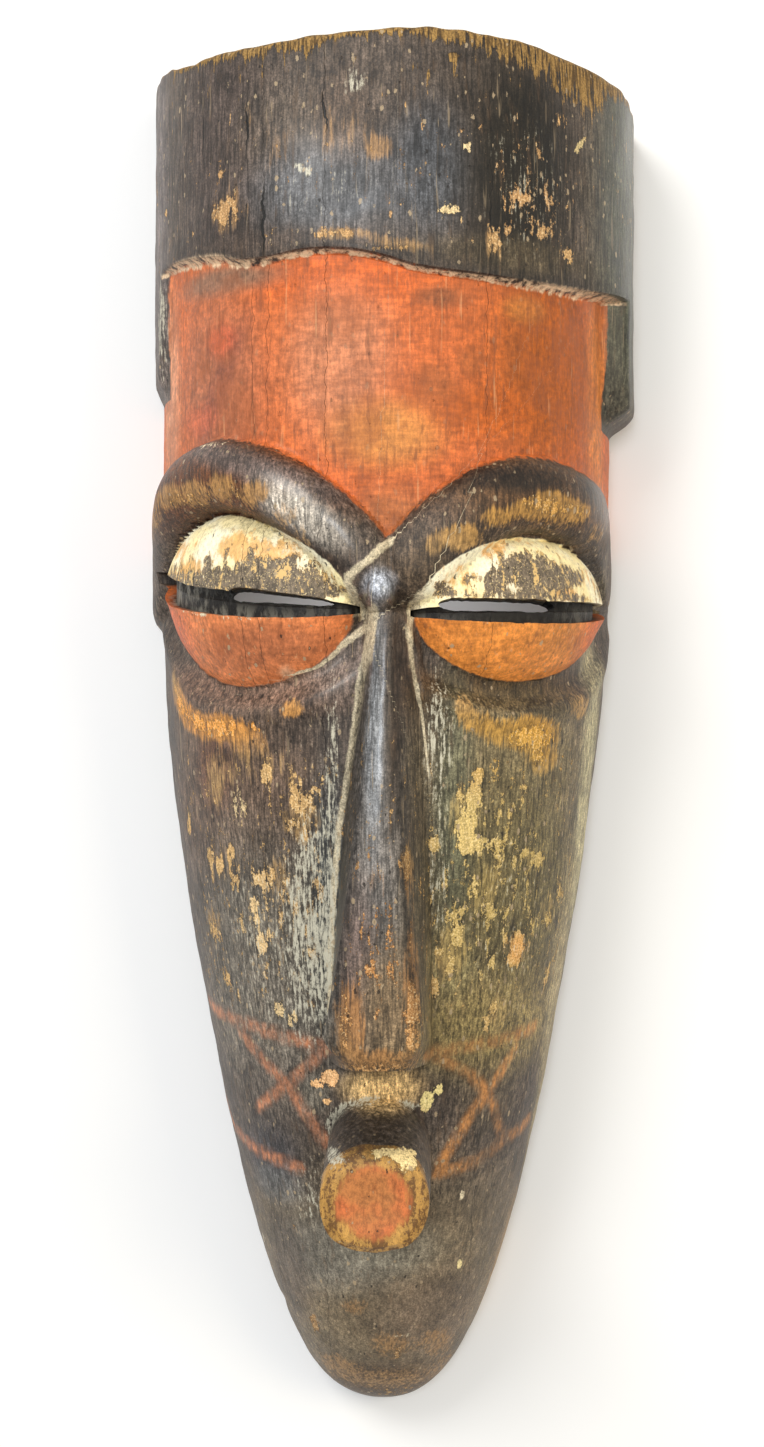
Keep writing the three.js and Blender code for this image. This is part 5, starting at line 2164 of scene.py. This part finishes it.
    def wear(self) -> Signal:
        """Ochre wood and cream chips where the paint has been rubbed thin or come off.

        Returns:
            Where paint has come off.
        """
        keep = 1.0 - self.math("MAXIMUM", self.stored("upper_lid").rise(0.0, 0.6), self.stored("sawn"))
        ochre = self.stored("chip", "Color")
        thin = (self.fibre * 0.5 + self.streak * 0.5 - 0.5) * 2.6 + self.stored("rubbed")
        self.coat(thin.rise(0.3, 0.9) * (keep * 0.88), self.scaled(
            ochre, self.fibre.tone(0.34, 0.64, 0.5, 1.05), self.grit.tone(0.34, 0.64, 0.62, 1.14)))
        crown = self.stored("crown")
        finer = self.ragged * 0.62 + self.lerp(crown, self.grit, self.fibre) * 0.38
        flaked, rim = self.grouped(Flaking(), Amount=self.stored("worn") * keep, Noise=finer, Spread=6.5)
        chip = self.scaled(ochre, self.fine.tone(0.36, 0.62, 0.74, 1.3),
                           self.fibre.tone(0.36, 0.64, 0.8, 1.16))
        glints = self.fine.rise(0.56, 0.62) * self.lerp(crown, 0.6, 0.0)
        chip = self.mix(glints, chip, self.chip_glint)
        chip = self.mix(self.fibre.rise(0.54, 0.44) * crown * 0.75, chip, self.chip_strand)
        self.coat(rim * 0.6, self.chip_rim)
        self.coat(flaked, chip)
        pale = self.stored("pale")
        pale = (pale + (finer - 0.5) * 3.0).rise(0.42, 0.56) * pale.rise(0.02, 0.3)
        rough = (finer - 0.5) * 5.0
        for i in range(len(PaintPlan.pale_lines)):
            away = self.math("ABSOLUTE", self.stored(f"pale_line_{i}")) + rough
            pale = self.math("MAXIMUM", pale, (1.0 - away.rise(0.6, 1.2)) * 0.9)
        self.coat(pale, self.scaled(self.bare, self.grit.tone(0.34, 0.62, 0.55, 1.2),
                                    self.fine.tone(0.36, 0.62, 0.7, 1.15)))
        return flaked

    def settle_dust(self) -> None:
        """Pale dust in the grooves, and small pale flecks and dark pits all over."""
        dust = self.stored("dust")
        settled = self.fibre * 0.6 + self.grit * 0.4 - 0.5 + dust * 0.24
        self.coat(settled.rise(0.1, 0.22) * dust.rise(0.0, 0.25), self.dust)
        calm = self.stored("forehead").tone(-1.0, 1.0, 0.8, 0.16)
        self.coat(self.pit * calm, self.pit_dark)
        self.coat(self.speck * calm, self.fleck)

    def saw_crown(self) -> None:
        """The sawn crown end: weathered end grain, with rings round the pith."""
        flat = self.stretched(self.place(), (1.0, 0.0, 1.0))
        from_pith = self.add("ShaderNodeVectorMath", operation="DISTANCE")
        away = self.fed(from_pith, {0: flat, 1: self.pith}, "Value")
        ring = self.math("SINE", (away + self.noise(flat, 24.0) * 0.012) * self.rings)
        self.coat(self.stored("sawn"), self.scaled(
            self.end_grain, ring.tone(-1.0, 1.0, 0.84, 1.1), self.mottle.tone(0.34, 0.66, 0.7, 1.2),
            self.grit.tone(0.34, 0.64, 0.8, 1.14)))

    def split_amount(self) -> Signal:
        """How surely places are in one of the crown band's cracks.

        Returns:
            The amount, from 0 to 1.
        """
        plan = self.stored("plan", "Vector")
        splits = [self.grouped(Crack(), Plan=plan, Place=place, Low=low, High=high, Width=width)[0]
                  for place, low, high, width in self.cracks]
        return reduce(lambda one, other: self.math("MAXIMUM", one, other), splits)


class GougedWood(WoodWiring):
    """The hollow and the rim: bare wood, browned with handling."""

    name: str = "gouged_wood"
    dark: Triple = (92, 66, 44)
    light: Triple = (156, 120, 82)
    stain: Triple = (58, 42, 30)
    bump_strength: float = 0.5
    bump_depth: float = 0.0003

    def material(self) -> bpy.types.Material:
        """Stains the wood and ends the material.

        Returns:
            The material.
        """
        self.colour = self.mix(
            (self.fibre * 0.6 + self.mottle * 0.4).rise(0.38, 0.64), self.dark, self.light)
        self.coat(self.chip.rise(0.5, 0.68) * 0.45, self.stain)
        return self.finish(self.lerp(self.chip, 0.62, 0.86), self.fibre + self.fine * 0.4)


@dataclass(frozen=True)
class SoftLight:
    """A square soft light that looks at a point."""

    name: str
    place: Triple
    target: Triple
    size: float
    power: float
    colour: Triple = (1.0, 1.0, 1.0)

    def build(self) -> bpy.types.Object:
        """Hangs the light and aims it.

        Returns:
            The light's object.
        """
        lamp = bpy.data.lights.new(self.name, "AREA")
        lamp.size = self.size
        lamp.energy = self.power
        lamp.color = self.colour
        made = linked(self.name, lamp)
        made.location = self.place
        look = Vector(self.target) - Vector(self.place)
        made.rotation_euler = look.to_track_quat("-Z", "Y").to_euler()
        return made


@dataclass(frozen=True)
class Studio:
    """The pale floor, the soft lights and the camera."""

    floor_half: float = 3.0
    floor_colour: Triple = (250, 250, 250)
    floor_roughness: float = 0.9
    camera_place: Triple = (-0.0046, 0.0098, 0.850)
    photo_half_height: float = 723.5
    photo_focal: float = 2271.0
    nearest_seen: float = 0.01
    world_strength: float = 0.46
    lights: tuple[SoftLight, ...] = (
        SoftLight("window", (-0.8, 1.0, 1.4), (0.0, 0.0, 0.05), 0.8, 19.0, (1.0, 0.985, 0.95)),
        SoftLight("lamp", (1.1, 0.2, 1.2), (0.0, 0.0, 0.05), 0.8, 8.4, (1.0, 0.87, 0.64)),
        SoftLight("ceiling", (-0.16, 0.28, 1.9), (0.0, 0.0, 0.05), 0.34, 8.5, (0.88, 0.94, 1.0)),
        SoftLight("under_mask", (0.0, 0.06, 0.06), (0.0, 0.046, 0.0), 0.07, 0.02),
    )

    def build(self) -> None:
        """Builds all of it."""
        shape = bmesh.new()
        bmesh.ops.create_grid(shape, x_segments=1, y_segments=1, size=self.floor_half)
        mesh = bpy.data.meshes.new("floor")
        shape.to_mesh(mesh)
        shape.free()
        floor = linked("floor", mesh)
        paper = bpy.data.materials.new("pale_floor")
        paper.use_nodes = True
        shader = paper.node_tree.nodes["Principled BSDF"]
        shader.inputs["Base Color"].default_value = rgba(self.floor_colour)
        shader.inputs["Roughness"].default_value = self.floor_roughness
        mesh.materials.append(paper)
        for light in self.lights:
            light.build()
        world = bpy.data.worlds.new("studio")
        world.use_nodes = True
        back = world.node_tree.nodes["Background"]
        back.inputs["Color"].default_value = (1.0, 1.0, 1.0, 1.0)
        back.inputs["Strength"].default_value = self.world_strength
        scene = bpy.context.scene
        scene.world = world
        scene.view_settings.view_transform = "Standard"
        lens = bpy.data.cameras.new("camera")
        lens.sensor_fit = "VERTICAL"
        lens.angle = 2.0 * math.atan(self.photo_half_height / self.photo_focal)
        lens.clip_start = self.nearest_seen
        camera = linked("camera", lens)
        camera.location = self.camera_place
        scene.camera = camera


def main() -> None:
    """Builds the studio and the mask."""
    logging.basicConfig(level=logging.INFO, format="%(message)s")
    Studio().build()
    mask = CarvedMask().build()
    faces = mask.data.polygons
    LOG.info("carved_mask: %d faces, %d triangles", len(faces), sum(len(f.vertices) - 2 for f in faces))


if __name__ == "__main__":
    main()
